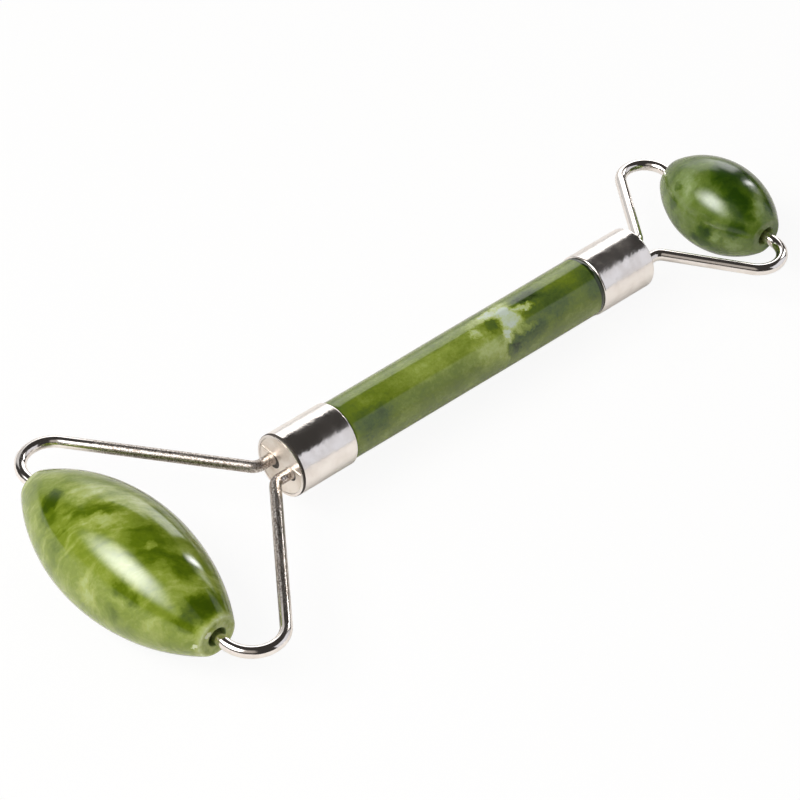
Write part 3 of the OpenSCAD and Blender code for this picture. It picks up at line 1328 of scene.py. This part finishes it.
@dataclass(frozen=True)
class Ferrule:
    """The plated tube on an end of the rod, with the soldered disc that closes it.

    Attributes:
        end: Which end of the handle it belongs to.
        tube_plate: Finish of the tube.
        disc_plate: Finish of the disc.
        solder: Finish of the seams and fillets.
        flux: Finish of the painted leg shadows and of the dark rim band.
        dark_rim: True where a dark brown band covers the rounded rim and a groove behind it.
        d: Outer diameter of the tube.
        wall: Thickness of the tube.
        rim_round: Radius of the rounded rims.
        disc_recess: How far the disc lies inside the rim.
        buff_depth: Depth of the hollows that the buffing wheel leaves.
        seam_r: Radius of the solder seams across the disc.
        seam_rise: Height of the seams above the disc's middle.
        seam_sunk: How far a seam's middle line lies under the disc's face.
        seam_end_gap: Gap between a seam and the tube.
        seam_taper: Radius of a seam's ends, as a share of its own.
        collar_d: Diameter of the solder fillet round a leg's foot.
        collar_height: Height of that fillet.
        lap: How far the fillets reach into the wire.
        sunk: How far fillets and painted leg shadows reach into the disc.
        shadow_far: Painted shadow under the far leg's foot.
        shadow_near: Painted shadow under the near leg's foot.
        groove_from: Distance from the rim to the groove behind it.
        groove_width: Width of the groove.
        groove_depth: Depth of the groove.
        dark_from: Row of the rounded rim at which the dark band begins.
        side_rows: Rows of points along the tube's outside.
        bore_rows: Rows of points along its inside.
        seam_rows: Rows of points along a seam.
        flare_rows: Rows of points up a fillet.
        foot_turns: Faces round a foot.
    """

    end: End
    tube_plate: NickelPlate
    disc_plate: NickelPlate
    solder: NickelPlate
    flux: DarkBrownCrust
    dark_rim: bool
    d: float = 10.5
    wall: float = 0.5
    rim_round: float = 0.25
    disc_recess: float = 0.1
    buff_depth: float = 0.012
    seam_r: float = 0.2
    seam_rise: float = 1.2
    seam_sunk: float = 0.03
    seam_end_gap: float = 0.05
    seam_taper: float = 0.6
    collar_d: float = 2.12
    collar_height: float = 0.5
    lap: float = 0.03
    sunk: float = 0.04
    shadow_far: LegShadowMark = LegShadowMark(width=0.22, sideways=0.5, down=0.16)
    shadow_near: LegShadowMark = LegShadowMark(width=0.1, sideways=0.14, down=0.14)
    groove_from: float = 0.26
    groove_width: float = 0.24
    groove_depth: float = 0.1
    dark_from: int = 3
    side_rows: int = 60
    bore_rows: int = 21
    seam_rows: int = 14
    flare_rows: int = 9
    foot_turns: int = 64

    def buffed(self, along: np.ndarray, angle: np.ndarray) -> np.ndarray:
        """Returns how deep the buffing wheel's hollows are at each place along and angle round the tube."""
        hollow = 1 + np.sin(1.7 * along + 2 * angle) * np.cos(3 * angle - 0.9 * along)
        return self.buff_depth / 2 * hollow

    def tube(self, layout: Layout) -> None:
        """Turns the tube, with rounded rims and, where the rim is dark, a groove behind the outer one.

        Args:
            layout: Where the pieces lie.
        """
        length, outer, inner = layout.ferrule_length, self.d / 2, self.d / 2 - self.wall
        turn = outer - self.rim_round
        rim = [(x, r) for x, r in arc((-self.rim_round, turn), self.rim_round, 0, 90, count=8)]
        groove_to = self.groove_from + self.groove_width
        floor_r = outer - (self.groove_depth if self.dark_rim else 0.0)
        flank = self.groove_depth / 2
        groove = [
            (-self.groove_from, outer),
            (-self.groove_from - flank, floor_r),
            (-groove_to + flank, floor_r),
            (-groove_to, outer),
        ]
        side_x = np.linspace(-groove_to, self.rim_round - length, self.side_rows)[1:-1]
        side = [(x, outer) for x in side_x]
        back = [(-length - x, r) for x, r in reversed(rim)]
        bore = [(x, inner) for x in np.linspace(-length, 0, self.bore_rows)]
        dark_rows = range(self.dark_from, len(rim) + len(groove) - 1) if self.dark_rim else range(0)
        rows = rim + groove + side + back + bore
        parts = revolve(rows, Axis.ALONG_X, trim=self.buffed, second_rows=dark_rows)
        name = self.end.label + "_ferrule"
        finishes = (self.tube_plate, self.flux)
        parts.build(name + "_tube", layout.at_rim(self.end), finishes, Body.HANDLE, "plated_ferrule", name)

    def sides(self) -> tuple[tuple[str, int, LegShadowMark], ...]:
        """Returns the far and the near side's name, sign of Y in the rim's frame and painted leg shadow."""
        return ("far", self.end.value, self.shadow_far), ("near", -self.end.value, self.shadow_near)

    def seams(self, layout: Layout) -> None:
        """Runs a thin bead of solder across the disc, from each leg of the yoke to the rim.

        Args:
            layout: Where the pieces lie.
        """
        first = layout.leg_spacing / 2
        last = math.sqrt((self.d / 2 - self.wall) ** 2 - self.seam_rise**2) - self.seam_end_gap
        place = layout.at_rim(self.end) @ Matrix.Translation((0, 0, self.seam_rise * METRES_PER_MM))
        for label, side, _ in self.sides():
            across = np.linspace(first, last, self.seam_rows) * side
            line = np.stack([np.full(len(across), -self.disc_recess - self.seam_sunk), across], axis=1)
            radii = np.full(len(across), self.seam_r)
            radii[[0, -1]] = self.seam_r * self.seam_taper
            name = f"{self.end.label}_disc_seam_{label}"
            sweep(line, radii, sides=14).build(name, place, (self.solder,), Body.HANDLE, "plated_disc")

    def feet(self, layout: Layout) -> None:
        """Flows a fillet of solder round each leg of the yoke, with a painted shadow of the leg under its
        foot.

        Args:
            layout: Where the pieces lie.
        """
        foot, leg, floor = self.collar_d / 2, layout.wire_d / 2, -self.disc_recess
        seat, top = floor - self.sunk, floor + self.collar_height
        # The painted shadow reaches in under the leg, so that no bare disc shows where it is moved to one
        # side
        core = leg / 4
        flare = [
            (floor + self.collar_height * (1 - math.cos(t)), foot + (leg - foot) * math.sin(t))
            for t in np.linspace(0, math.pi / 2, self.flare_rows)
        ]
        fillet = [*flare, (top, leg - self.lap), (seat, leg - self.lap), (seat, foot)]
        for label, side, mark in self.sides():
            aside = Vector((0, side * layout.leg_spacing / 2, 0)) * METRES_PER_MM
            place = layout.at_rim(self.end) @ Matrix.Translation(aside)
            collar = revolve(fillet, Axis.ALONG_X, turns=self.foot_turns)
            name = f"{self.end.label}_leg_solder_{label}"
            collar.build(name, place, (self.solder,), Body.HANDLE, "plated_disc")
            shadow_r = foot + mark.width
            crust = [
                (seat, core),
                (seat, shadow_r),
                (floor + mark.edge_height, shadow_r - mark.edge_width),
                (floor + mark.height, core),
            ]
            moved_by = Vector((0, -self.end.value * mark.sideways, -mark.down)) * METRES_PER_MM
            shadow_piece = revolve(crust, Axis.ALONG_X, turns=self.foot_turns)
            name = f"{self.end.label}_leg_flux_{label}"
            shadow_piece.build(name, place @ Matrix.Translation(moved_by), (self.flux,), Body.HANDLE, "plated_disc")

    def build(self, layout: Layout) -> None:
        """Makes the tube, the seams and the feet, and dresses the disc.

        Args:
            layout: Where the pieces lie.
        """
        self.tube(layout)
        self.seams(layout)
        self.feet(layout)
        dress_solid(self.end.label + "_end_disc", self.disc_plate)


@dataclass(frozen=True)
class Handle:
    """The jade rod between the ferrules, and the glue that holds a yoke's hairpin at each end.

    Attributes:
        polish: Finish of the rod.
        epoxy: Finish of the glue.
        d_large_end: Diameter of the rod at the large roller's end.
        d_small_end: Diameter at the small roller's end.
        spigot_d: Diameter of the spigots inside the ferrules.
        spigot_length: Length of the spigots.
        shoulder_round: Length of the rounded shoulders beside the ferrules.
        shoulder_drop: How much slimmer the rod is at the end of a shoulder.
        unevenness: How far the rod's surface wanders.
        shoulder_rows: Rows of points round a shoulder.
        rod_rows: Rows of points along the rod.
    """

    polish: PolishedJade
    epoxy: CastEpoxy
    d_large_end: float = 9.8
    d_small_end: float = 10.1
    spigot_d: float = 9.42
    spigot_length: float = 5.41
    shoulder_round: float = 0.7
    shoulder_drop: float = 0.18
    unevenness: float = 0.02
    shoulder_rows: int = 10
    rod_rows: int = 110

    def ground(self, shown: float, along: np.ndarray, angle: np.ndarray) -> np.ndarray:
        """Returns how deep hand grinding went at each place and angle, out to where the shoulders begin."""
        waves = 2 + np.sin(2 * angle + 0.11 * along) + np.sin(3 * angle - 0.23 * along + 1.1)
        return np.where(np.abs(along) < shown, self.unevenness / 2 * waves, 0.0)

    def rod(self, layout: Layout) -> None:
        """Grinds the rod, with rounded shoulders beside the ferrules and a spigot inside each.

        Args:
            layout: Where the pieces lie.
        """
        half = layout.grip_length / 2
        spigot_r, tip = self.spigot_d / 2, half + self.spigot_length
        large_r, small_r = self.d_large_end / 2, self.d_small_end / 2
        soft, drop = self.shoulder_round, self.shoulder_drop
        turn = np.linspace(0, math.pi / 2, self.shoulder_rows)
        left = [(-half + soft * (1 - math.cos(t)), large_r - drop * (1 - math.sin(t))) for t in turn]
        right = [(half - soft * (1 - math.cos(t)), small_r - drop * (1 - math.sin(t))) for t in turn[::-1]]
        middle = [
            (x, large_r + (small_r - large_r) * (x + half) / (2 * half))
            for x in np.linspace(-half + soft, half - soft, self.rod_rows)[1:-1]
        ]
        inner, outer = (left[0][0], spigot_r), (right[-1][0], spigot_r)
        rows = [(-tip, spigot_r), inner, *left, *middle, *right, outer, (tip, spigot_r)]
        parts = revolve(rows, Axis.ALONG_X, closed=False, trim=partial(self.ground, half - soft))
        name = "handle_rod"
        parts.build(name + "_ground", layout.rest(), (self.polish,), Body.HANDLE, "handle_jade", name)

    def build(self, layout: Layout) -> None:
        """Makes the rod and dresses the glue.

        Args:
            layout: Where the pieces lie.
        """
        self.rod(layout)
        for end in End:
            dress_solid(end.label + "_glue_plug", self.epoxy)


@dataclass(frozen=True)
class Card:
    """A card of the studio, bent round the object at an even distance, that only mirrors see.

    Attributes:
        name: Name of the card.
        colour: Its colour.
        strength: Its glow, 1 for white.
        azimuth_deg: Where it begins and ends round the object, from +X towards +Y.
        height_deg: Where it begins and ends above the table, as seen from the object.
        distance: How far off it stands, in millimetres.
        soft: Share of its width or height over which its first, last, bottom and top edge fade.
        columns: Points across it.
        rows: Points up it.
    """

    name: str
    colour: str
    strength: float
    azimuth_deg: tuple[float, float]
    height_deg: tuple[float, float]
    distance: float
    soft: Edges = (0.0, 0.0, 0.0, 0.0)
    columns: int = 49
    rows: int = 25

    def build(self) -> None:
        """Hangs the card up."""
        shares = np.linspace(0, 1, self.columns), np.linspace(0, 1, self.rows)
        u, v = np.meshgrid(*shares, indexing="ij")
        turn = np.radians(self.azimuth_deg[0] + u * (self.azimuth_deg[1] - self.azimuth_deg[0]))
        rise = np.radians(self.height_deg[0] + v * (self.height_deg[1] - self.height_deg[0]))
        ahead = np.stack([np.cos(rise) * np.cos(turn), np.cos(rise) * np.sin(turn), np.sin(rise)], axis=2)
        places = ahead.reshape(-1, 3) * self.distance * METRES_PER_MM
        rows = self.rows
        faces = [
            (i * rows + j, (i + 1) * rows + j, (i + 1) * rows + j + 1, i * rows + j + 1)
            for i in range(self.columns - 1)
            for j in range(rows - 1)
        ]
        mesh = bpy.data.meshes.new(self.name)
        mesh.from_pydata(places.tolist(), [], faces)
        sheet = np.stack([u, v], axis=2).reshape(-1, 2)
        layer = mesh.uv_layers.new(name=DRAWN_UV)
        layer.data.foreach_set("uv", sheet[np.array(faces).ravel()].astype(np.float32).ravel())
        mesh.materials.append(StudioCard(self.name, self.colour, self.strength, self.soft).material())
        card = bpy.data.objects.new(self.name, mesh)
        bpy.context.scene.collection.objects.link(card)
        card.visible_camera = False
        card.visible_diffuse = False
        card.visible_shadow = False


@dataclass(frozen=True)
class SoftBox:
    """A soft studio lamp. Mirrors see the card that stands for its cloth instead of it.

    Attributes:
        name: Name of the lamp.
        direction: Direction from the object to the lamp.
        distance: How far off it stands, in millimetres.
        size: Its width along the table and its height, in millimetres.
        watts: Its power.
        target: What it faces, in millimetres.
    """

    name: str
    direction: Point
    distance: float
    size: tuple[float, float]
    watts: float
    target: Point = (0.0, 0.0, 10.0)

    def build(self) -> None:
        """Sets the lamp up, with its back away from its target and its width level."""
        lamp = bpy.data.lights.new(self.name, "AREA")
        lamp.shape = "RECTANGLE"
        lamp.size, lamp.size_y = (s * METRES_PER_MM for s in self.size)
        lamp.energy = self.watts
        holder = bpy.data.objects.new(self.name, lamp)
        holder.visible_glossy = False
        bpy.context.scene.collection.objects.link(holder)
        place = Vector(self.direction).normalized() * self.distance
        back = (place - Vector(self.target)).normalized()
        level = Vector((0, 0, 1)).cross(back).normalized()
        turn = Matrix((level, back.cross(level), back)).transposed().to_4x4()
        holder.matrix_world = Matrix.Translation(place * METRES_PER_MM) @ turn


@dataclass(frozen=True)
class Studio:
    """The white table, the lamps, the cards and the camera.

    Attributes:
        board: Finish of the floor.
        lamps: The lamps.
        cards: The cards that mirrors see.
        floor_width: Width of the floor.
        ambient: Strength of the room's own light on the object.
        ambient_colour: Colour of that light.
        camera_place: Where the camera stands.
        camera_heading: Direction in which it looks.
        camera_roll_deg: How far it is tipped to one side.
        focal_pixels: Its focal length, in pixels of the image.
        camera_sees: How far it sees, in metres.
    """

    board: WhiteBoard
    lamps: tuple[SoftBox, ...]
    cards: tuple[Card, ...]
    floor_width: float = 6000.0
    ambient: float = 0.36
    ambient_colour: str = "#fffdfa"
    camera_place: Point = (-279.90, -275.336, 364.088)
    camera_heading: Point = (0.517666, 0.523142, -0.677012)
    camera_roll_deg: float = 2.327
    focal_pixels: float = 3403.75
    camera_sees: float = 20.0

    def floor(self) -> None:
        """Lays the board that the stones rest on."""
        half = self.floor_width / 2 * METRES_PER_MM
        corners = [(-half, -half, 0), (half, -half, 0), (half, half, 0), (-half, half, 0)]
        mesh = bpy.data.meshes.new("studio_board")
        mesh.from_pydata(corners, [], [(0, 1, 2, 3)])
        mesh.materials.append(self.board.material())
        floor = bpy.data.objects.new("studio_board", mesh)
        bpy.context.scene.collection.objects.link(floor)

    def surroundings(self) -> None:
        """Makes the room white where it is looked at, and dimmer where it lights the object."""
        world = bpy.data.worlds.new("white_room")
        world.use_nodes = True
        tree = world.node_tree
        tree.nodes.clear()
        inputs = {"Color": linear(self.ambient_colour), "Strength": self.ambient}
        dim = add_node(tree, "ShaderNodeBackground", inputs).outputs[0]
        inputs = {"Color": linear(WHITE), "Strength": 1.0}
        white = add_node(tree, "ShaderNodeBackground", inputs).outputs[0]
        inputs = {0: looked_at(tree), 1: dim, 2: white}
        mixed = add_node(tree, "ShaderNodeMixShader", inputs).outputs[0]
        add_node(tree, "ShaderNodeOutputWorld", {"Surface": mixed})
        bpy.context.scene.world = world

    def camera(self) -> None:
        """Stands the camera where the photograph was taken from."""
        data = bpy.data.cameras.new("camera")
        data.sensor_width = SENSOR_WIDTH
        data.lens = SENSOR_WIDTH * self.focal_pixels / IMAGE_WIDTH
        data.clip_end = self.camera_sees
        ahead = Vector(self.camera_heading).normalized()
        level = ahead.cross(Vector((0, 0, 1))).normalized()
        roll = math.radians(self.camera_roll_deg)
        right = level * math.cos(roll) + level.cross(ahead) * math.sin(roll)
        turn = Matrix((right, right.cross(ahead), -ahead)).transposed().to_4x4()
        camera = bpy.data.objects.new("camera", data)
        camera.matrix_world = Matrix.Translation(Vector(self.camera_place) * METRES_PER_MM) @ turn
        bpy.context.scene.collection.objects.link(camera)
        bpy.context.scene.camera = camera

    def build(self) -> None:
        """Sets the whole studio up."""
        self.floor()
        self.surroundings()
        for part in (*self.lamps, *self.cards):
            part.build()
        self.camera()
        bpy.context.scene.view_settings.view_transform = "Standard"
        LOG.info("studio: %d lamps, %d cards", len(self.lamps), len(self.cards))


# A light green barrel with slanting growth bands, pale veils and a few dark clots under the polish
LARGE_JADE = PolishedJade(
    "Serpentine jade, tumble-polished, large stone",
    tones=(
        (0.0, "#384c00"),
        (0.25, "#586b0a"),
        (0.48, "#7b8b2c"),
        (0.64, "#96a24f"),
        (0.82, "#acb677"),
        (1.0, "#c8cfa8"),
    ),
    patches=(
        Patch((-4.3, 11.2, 6.8), (2.6, 1.8, 2.6), -0.45, crisp=2.0),
        Patch((-6.2, 10.0, 5.6), (2.2, 3.4, 2.4), -0.24, crisp=1.8),
        Patch((-2.4, 3.9, 9.2), (5.8, 1.4, 3.6), -0.3, (0.0, 0.0, -50.0), 1.8),
        Patch((-0.6, 7.2, 8.8), (4.2, 2.0, 2.6), 0.3, (0.0, 0.0, -40.0), 1.8),
        Patch((2.4, 1.0, 9.4), (4.4, 3.0, 2.6), 0.2, (0.0, 0.0, -30.0), 1.6),
        Patch((-2.6, 0.6, 9.2), (4.4, 1.7, 2.8), 0.24, (0.0, 0.0, -40.0), 1.8),
        Patch((-0.6, -6.8, 9.0), (4.2, 5.2, 3.6), -0.34, crisp=1.9),
        Patch((-1.0, -7.3, 9.0), (1.3, 0.9, 1.2), 0.24, crisp=2.0),
        Patch((-3.0, -14.6, 6.2), (2.6, 1.9, 2.4), 0.12, crisp=1.8),
        Patch((1.0, -12.6, 7.6), (2.6, 3.0, 2.6), -0.36, crisp=1.8),
        Patch((-0.8, -18.3, 4.7), (4.6, 2.5, 3.0), -0.46, crisp=1.8),
        Patch((-3.9, 16.4, 4.8), (2.6, 3.0, 3.0), -0.16, crisp=1.6),
        Patch((-7.8, 4.8, 5.0), (2.2, 2.4, 2.6), -0.12, crisp=1.6),
        Patch((-7.2, -9.0, 4.8), (1.8, 3.6, 1.7), -0.3, (0.0, 0.0, -10.0), 2.0),
        Patch((-3.9, -18.4, 3.1), (1.8, 3.0, 1.6), -0.3, (0.0, 0.0, -28.0), 2.0),
        Patch((-6.5, -14.7, 1.6), (2.6, 3.2, 2.8), 0.18, crisp=1.7),
        Patch((-8.9, -7.6, 1.2), (2.2, 2.2, 3.4), -0.16, crisp=1.7),
        Patch((-9.4, -3.2, 1.8), (2.4, 2.4, 3.4), 0.2, crisp=1.7),
        Patch((0.0, -21.2, 0.0), (4.6, 0.9, 4.6), 0.2, crisp=2.0),
        # Two small pale spots beside the near bore's mouth are painted glints off chip facets
        Patch((-1.8, -20.8, 1.6), (0.6, 0.9, 0.6), 0.8, crisp=3.0),
        Patch((-3.7, -20.2, 0.1), (0.5, 0.6, 0.5), 0.7, crisp=3.0),
    ),
    cloud_mm=4.5,
    band_mm=1.7,
    band_stretch=(4.5, 1.0, 4.5),
    band_lean_deg=(0.0, 0.0, -36.0),
    band_share=0.62,
    streak_mm=0.8,
    streak_stretch=(4.5, 1.0, 4.5),
    streak_share=0.3,
    mottle_share=0.22,
    swirl_reach_mm=2.0,
    base_tone=0.48,
    edge_r=3.4,
)

# A deeper green with a dark heart and small dark spots, under a softer polish
SMALL_JADE = PolishedJade(
    "Serpentine jade, tumble-polished, small stone",
    tones=(
        (0.0, "#223d00"),
        (0.3, "#405806"),
        (0.55, "#62762c"),
        (0.8, "#83955a"),
        (1.0, "#a4b186"),
    ),
    patches=(
        Patch((0.2, -2.4, 7.2), (4.2, 5.0, 3.4), -0.43, crisp=2.2),
        Patch((-2.6, -6.6, 5.2), (2.4, 4.0, 3.0), -0.4, crisp=2.2),
        Patch((-4.5, 3.0, 5.6), (2.4, 2.4, 2.4), 0.16, crisp=1.6),
        Patch((-4.8, -8.0, 2.3), (1.8, 2.2, 1.6), -0.3, crisp=2.2),
        Patch((-0.6, -8.6, 4.9), (2.0, 1.8, 2.0), 0.28, crisp=1.8),
        Patch((2.2, -8.8, 4.2), (1.4, 1.8, 1.8), -0.3, crisp=2.0),
        Patch((-7.1, -3.4, 0.4), (1.6, 1.7, 1.6), -0.34, crisp=2.0),
        Patch((-7.1, -2.6, -2.0), (1.6, 2.6, 1.6), -0.34, crisp=2.0),
        Patch((-6.6, -5.3, 0.4), (1.4, 1.3, 1.5), 0.24, crisp=1.8),
        Patch((-5.4, -8.0, -0.8), (2.2, 2.2, 1.8), 0.24, crisp=1.8),
        Patch((-5.6, 3.4, 4.2), (4.4, 4.4, 4.2), 0.24, crisp=1.6),
        Patch((-5.4, 4.6, 4.4), (1.1, 1.3, 1.2), -0.3, crisp=2.0),
        Patch((-6.9, 4.4, 1.6), (1.0, 1.6, 2.0), -0.24, crisp=2.0),
    ),
    cloud_mm=3.2,
    cloud_share=0.7,
    band_mm=1.8,
    band_stretch=(2.5, 1.0, 2.5),
    band_lean_deg=(0.0, 0.0, -30.0),
    band_share=0.4,
    mottle_share=0.24,
    base_tone=0.46,
    subsurface=0.36,
    roughness=0.16,
)

# An even green rod with one pale torn vein past its middle, darker towards its ends
ROD_JADE = PolishedJade(
    "Serpentine jade, ground and polished rod",
    tones=(
        (0.0, "#1e2b08"),
        (0.2, "#4a5d26"),
        (0.42, "#68791f"),
        (0.6, "#8b9a42"),
        (0.8, "#adb974"),
        (1.0, "#bdc8ba"),
    ),
    patches=(
        Patch((8.3, -1.8, 4.6), (2.8, 2.8, 2.2), 0.5, crisp=1.9),
        Patch((7.4, 0.8, 4.9), (4.0, 1.7, 1.8), 0.4, crisp=1.7),
        Patch((3.6, 0.8, 4.9), (4.2, 1.3, 1.5), 0.24, crisp=1.6),
        Patch((6.2, -3.5, 3.6), (1.2, 1.6, 1.6), 0.4, crisp=1.9),
        Patch((4.6, -4.7, 1.2), (1.7, 1.6, 2.8), 0.14, crisp=1.7),
        Patch((11.8, -1.2, 4.8), (2.4, 0.9, 1.1), 0.56, (0.0, 0.0, -20.0), 1.9),
        Patch((10.2, -3.9, 3.1), (2.6, 0.9, 1.0), 0.36, crisp=1.9),
        Patch((1.3, -1.0, 4.9), (1.5, 1.0, 1.0), 0.32, crisp=1.9),
        Patch((1.8, -3.7, 3.3), (5.2, 2.8, 2.8), 0.28, crisp=1.3),
        Patch((4.8, -1.1, 4.9), (1.8, 1.5, 1.4), -0.2, crisp=2.0),
        Patch((10.2, -4.5, 2.2), (4.6, 1.8, 2.6), -0.28, crisp=1.8),
        Patch((6.6, -4.8, 1.2), (1.8, 1.2, 1.8), -0.28, crisp=1.9),
        Patch((16.5, -2.8, 4.0), (8.0, 3.6, 3.4), -0.2, crisp=1.6),
        Patch((13.6, 0.3, 5.0), (4.6, 2.2, 1.5), -0.28, crisp=1.6),
        Patch((25.6, -3.0, 3.8), (3.4, 4.5, 3.6), -0.2, crisp=1.5),
        Patch((-22.0, -4.0, 2.6), (5.2, 2.8, 3.2), -0.3, crisp=1.6),
        Patch((-25.5, -1.0, 4.6), (3.5, 4.0, 3.0), -0.14, crisp=1.6),
        Patch((-8.0, -1.6, 4.6), (15.0, 2.8, 2.6), 0.1, crisp=1.6),
    ),
    cloud_mm=4.5,
    cloud_share=0.44,
    band_mm=1.4,
    band_stretch=(5.0, 1.0, 1.0),
    band_share=0.22,
    mottle_share=0.28,
    ragged_mm=1.2,
    ragged_reach_mm=1.1,
    torn_mm=0.45,
    torn_reach_mm=0.5,
    swirl_reach_mm=1.6,
    base_tone=0.44,
    # Painted shade in the joints beside the ferrules, wider at the small end
    joint_x=26.9,
    joint_shade_mm=0.65,
    joint_shade_offset=0.3,
)

# Lines that a drawing die leaves along a wire, which stretch what the wire mirrors along it
WIRE_LINES: dict[str, Any] = {
    "roughness": 0.1,
    "line_stretch": (20.0, 1.0, 1.0),
    "line_depth_mm": 0.008,
    "wave_mm": 1.2,
    "wave_depth_mm": 0.006,
    "uv_lines": True,
}
# Grey, grainy arms between bright bends
LARGE_WIRE_PLATE = NickelPlate(
    "Nickel-plated steel wire, handled to a satin", satin=0.21, satin_until=20.0, **WIRE_LINES
)
# A bright round mirror with thin dark lines along it
SMALL_WIRE_PLATE = NickelPlate("Nickel-plated steel wire, drawn and buffed", **WIRE_LINES)
# A curved mirror whose dark band has a wavering edge
TUBE_PLATE = NickelPlate("Nickel-plated brass tube, buffed", wave_depth_mm=0.034)
# A warm, pale face that mirrors only soft shade
DISC_PLATE = NickelPlate(
    "Nickel-plated brass disc, stamped",
    colour="#f8f0e8",
    worn_colour="#e2d6ca",
    line_stretch=(1.0, 1.0, 1.0),
    wave_mm=2.0,
    wave_depth_mm=0.012,
    roughness=0.44,
)
# Duller and greyer than the plating, so that a joint reads as a soft light line
SOLDER = NickelPlate(
    "Tin solder, flowed and plated",
    colour="#d9cfc5",
    worn_colour="#b7aa9c",
    line_stretch=(2.0, 1.0, 1.0),
    wave_mm=0.8,
    roughness=0.43,
)

LAMPS = (
    SoftBox("key_softbox", (-0.66, 0.08, 0.745), 900.0, (840.0, 400.0), 7.5),
    SoftBox("side_strip", (0.9, 0.09, 0.42), 1100.0, (150.0, 190.0), 1.1),
)
# From the dark room behind all the others to the cloths of the two lamps and the spill of one
CARDS = (
    Card("dark_room", "#f4ece6", 0.045, (0, 360), (0, 90), 2600),
    Card("low_sheet", "#f5f1ed", 0.8, (138, 238), (-4, 8.5), 900, (0.1, 0.1, 0.0, 0.1)),
    Card("back_sheet", WHITE, 0.62, (35, 112), (-5, 40), 440, (0.04, 0.2, 0.0, 0.02)),
    Card("back_glow", WHITE, 1.8, (36, 78), (0, 40), 430, (0.08, 0.4, 0.5, 0.02)),
    Card("back_window", WHITE, 3.2, (20, 50), (2, 36), 420, (0.06, 0.65, 0.3, 0.3)),
    Card("side_sheet", "#f0f2fa", 0.86, (-72, -10), (0, 42), 900, (0.05, 0.05, 0.02, 0.04)),
    Card("front_sheet", "#fdf6ee", 0.42, (188, 246), (24, 76), 900, (0.2, 0.2, 0.2, 0.2)),
    Card("key_cloth", WHITE, 14.5, (124, 209), (23, 72), 880, (0.42, 0.42, 0.42, 0.42)),
    Card("strip_cloth", WHITE, 20.0, (3, 10.5), (13, 43), 900, (0.5, 0.5, 0.5, 0.5)),
    Card("strip_spill", WHITE, 2.6, (-7, 5), (10, 44), 910, (0.5, 0.5, 0.5, 0.5)),
)


def main() -> None:
    """Builds the roller's sub-assemblies and the studio, in order."""
    logging.basicConfig(level=logging.INFO, format="%(message)s")
    layout = Layout()
    drilled = DrilledJade("Serpentine jade, core-drilled")
    nylon = TurnedNylon("Nylon bush, turned")
    # A dark brown crust: painted shadow under the legs' feet, and the dark band round the large rim
    flux = DarkBrownCrust("Soldering flux, burnt on")
    Handle(ROD_JADE, CastEpoxy("Epoxy glue, cast in place")).build(layout)
    for end in End:
        Ferrule(end, TUBE_PLATE, DISC_PLATE, SOLDER, flux, dark_rim=end is End.LARGE).build(layout)
    WireYoke(
        End.LARGE,
        layout.large_reach,
        neck=2.9,
        end_bend=5.0,
        stone_length=layout.large_length,
        plate=LARGE_WIRE_PLATE,
    ).build(layout)
    WireYoke(
        End.SMALL,
        layout.small_reach,
        neck=3.9,
        end_bend=4.4,
        stone_length=layout.small_length,
        plate=SMALL_WIRE_PLATE,
    ).build(layout)
    StoneRoller(
        End.LARGE,
        Body.LARGE_ROLLER,
        layout.large_length,
        layout.large_d,
        end_d=6.8,
        polish=LARGE_JADE,
        drilled=drilled,
        nylon=nylon,
        far_slim=0.55,
        far_short=0.35,
    ).build(layout)
    StoneRoller(
        End.SMALL,
        Body.SMALL_ROLLER,
        layout.small_length,
        layout.small_d,
        end_d=6.4,
        polish=SMALL_JADE,
        drilled=drilled,
        nylon=nylon,
        far_slim=0.2,
    ).build(layout)
    Studio(WhiteBoard("Matt white board, sprayed"), LAMPS, CARDS).build()


if __name__ == "__main__":
    main()
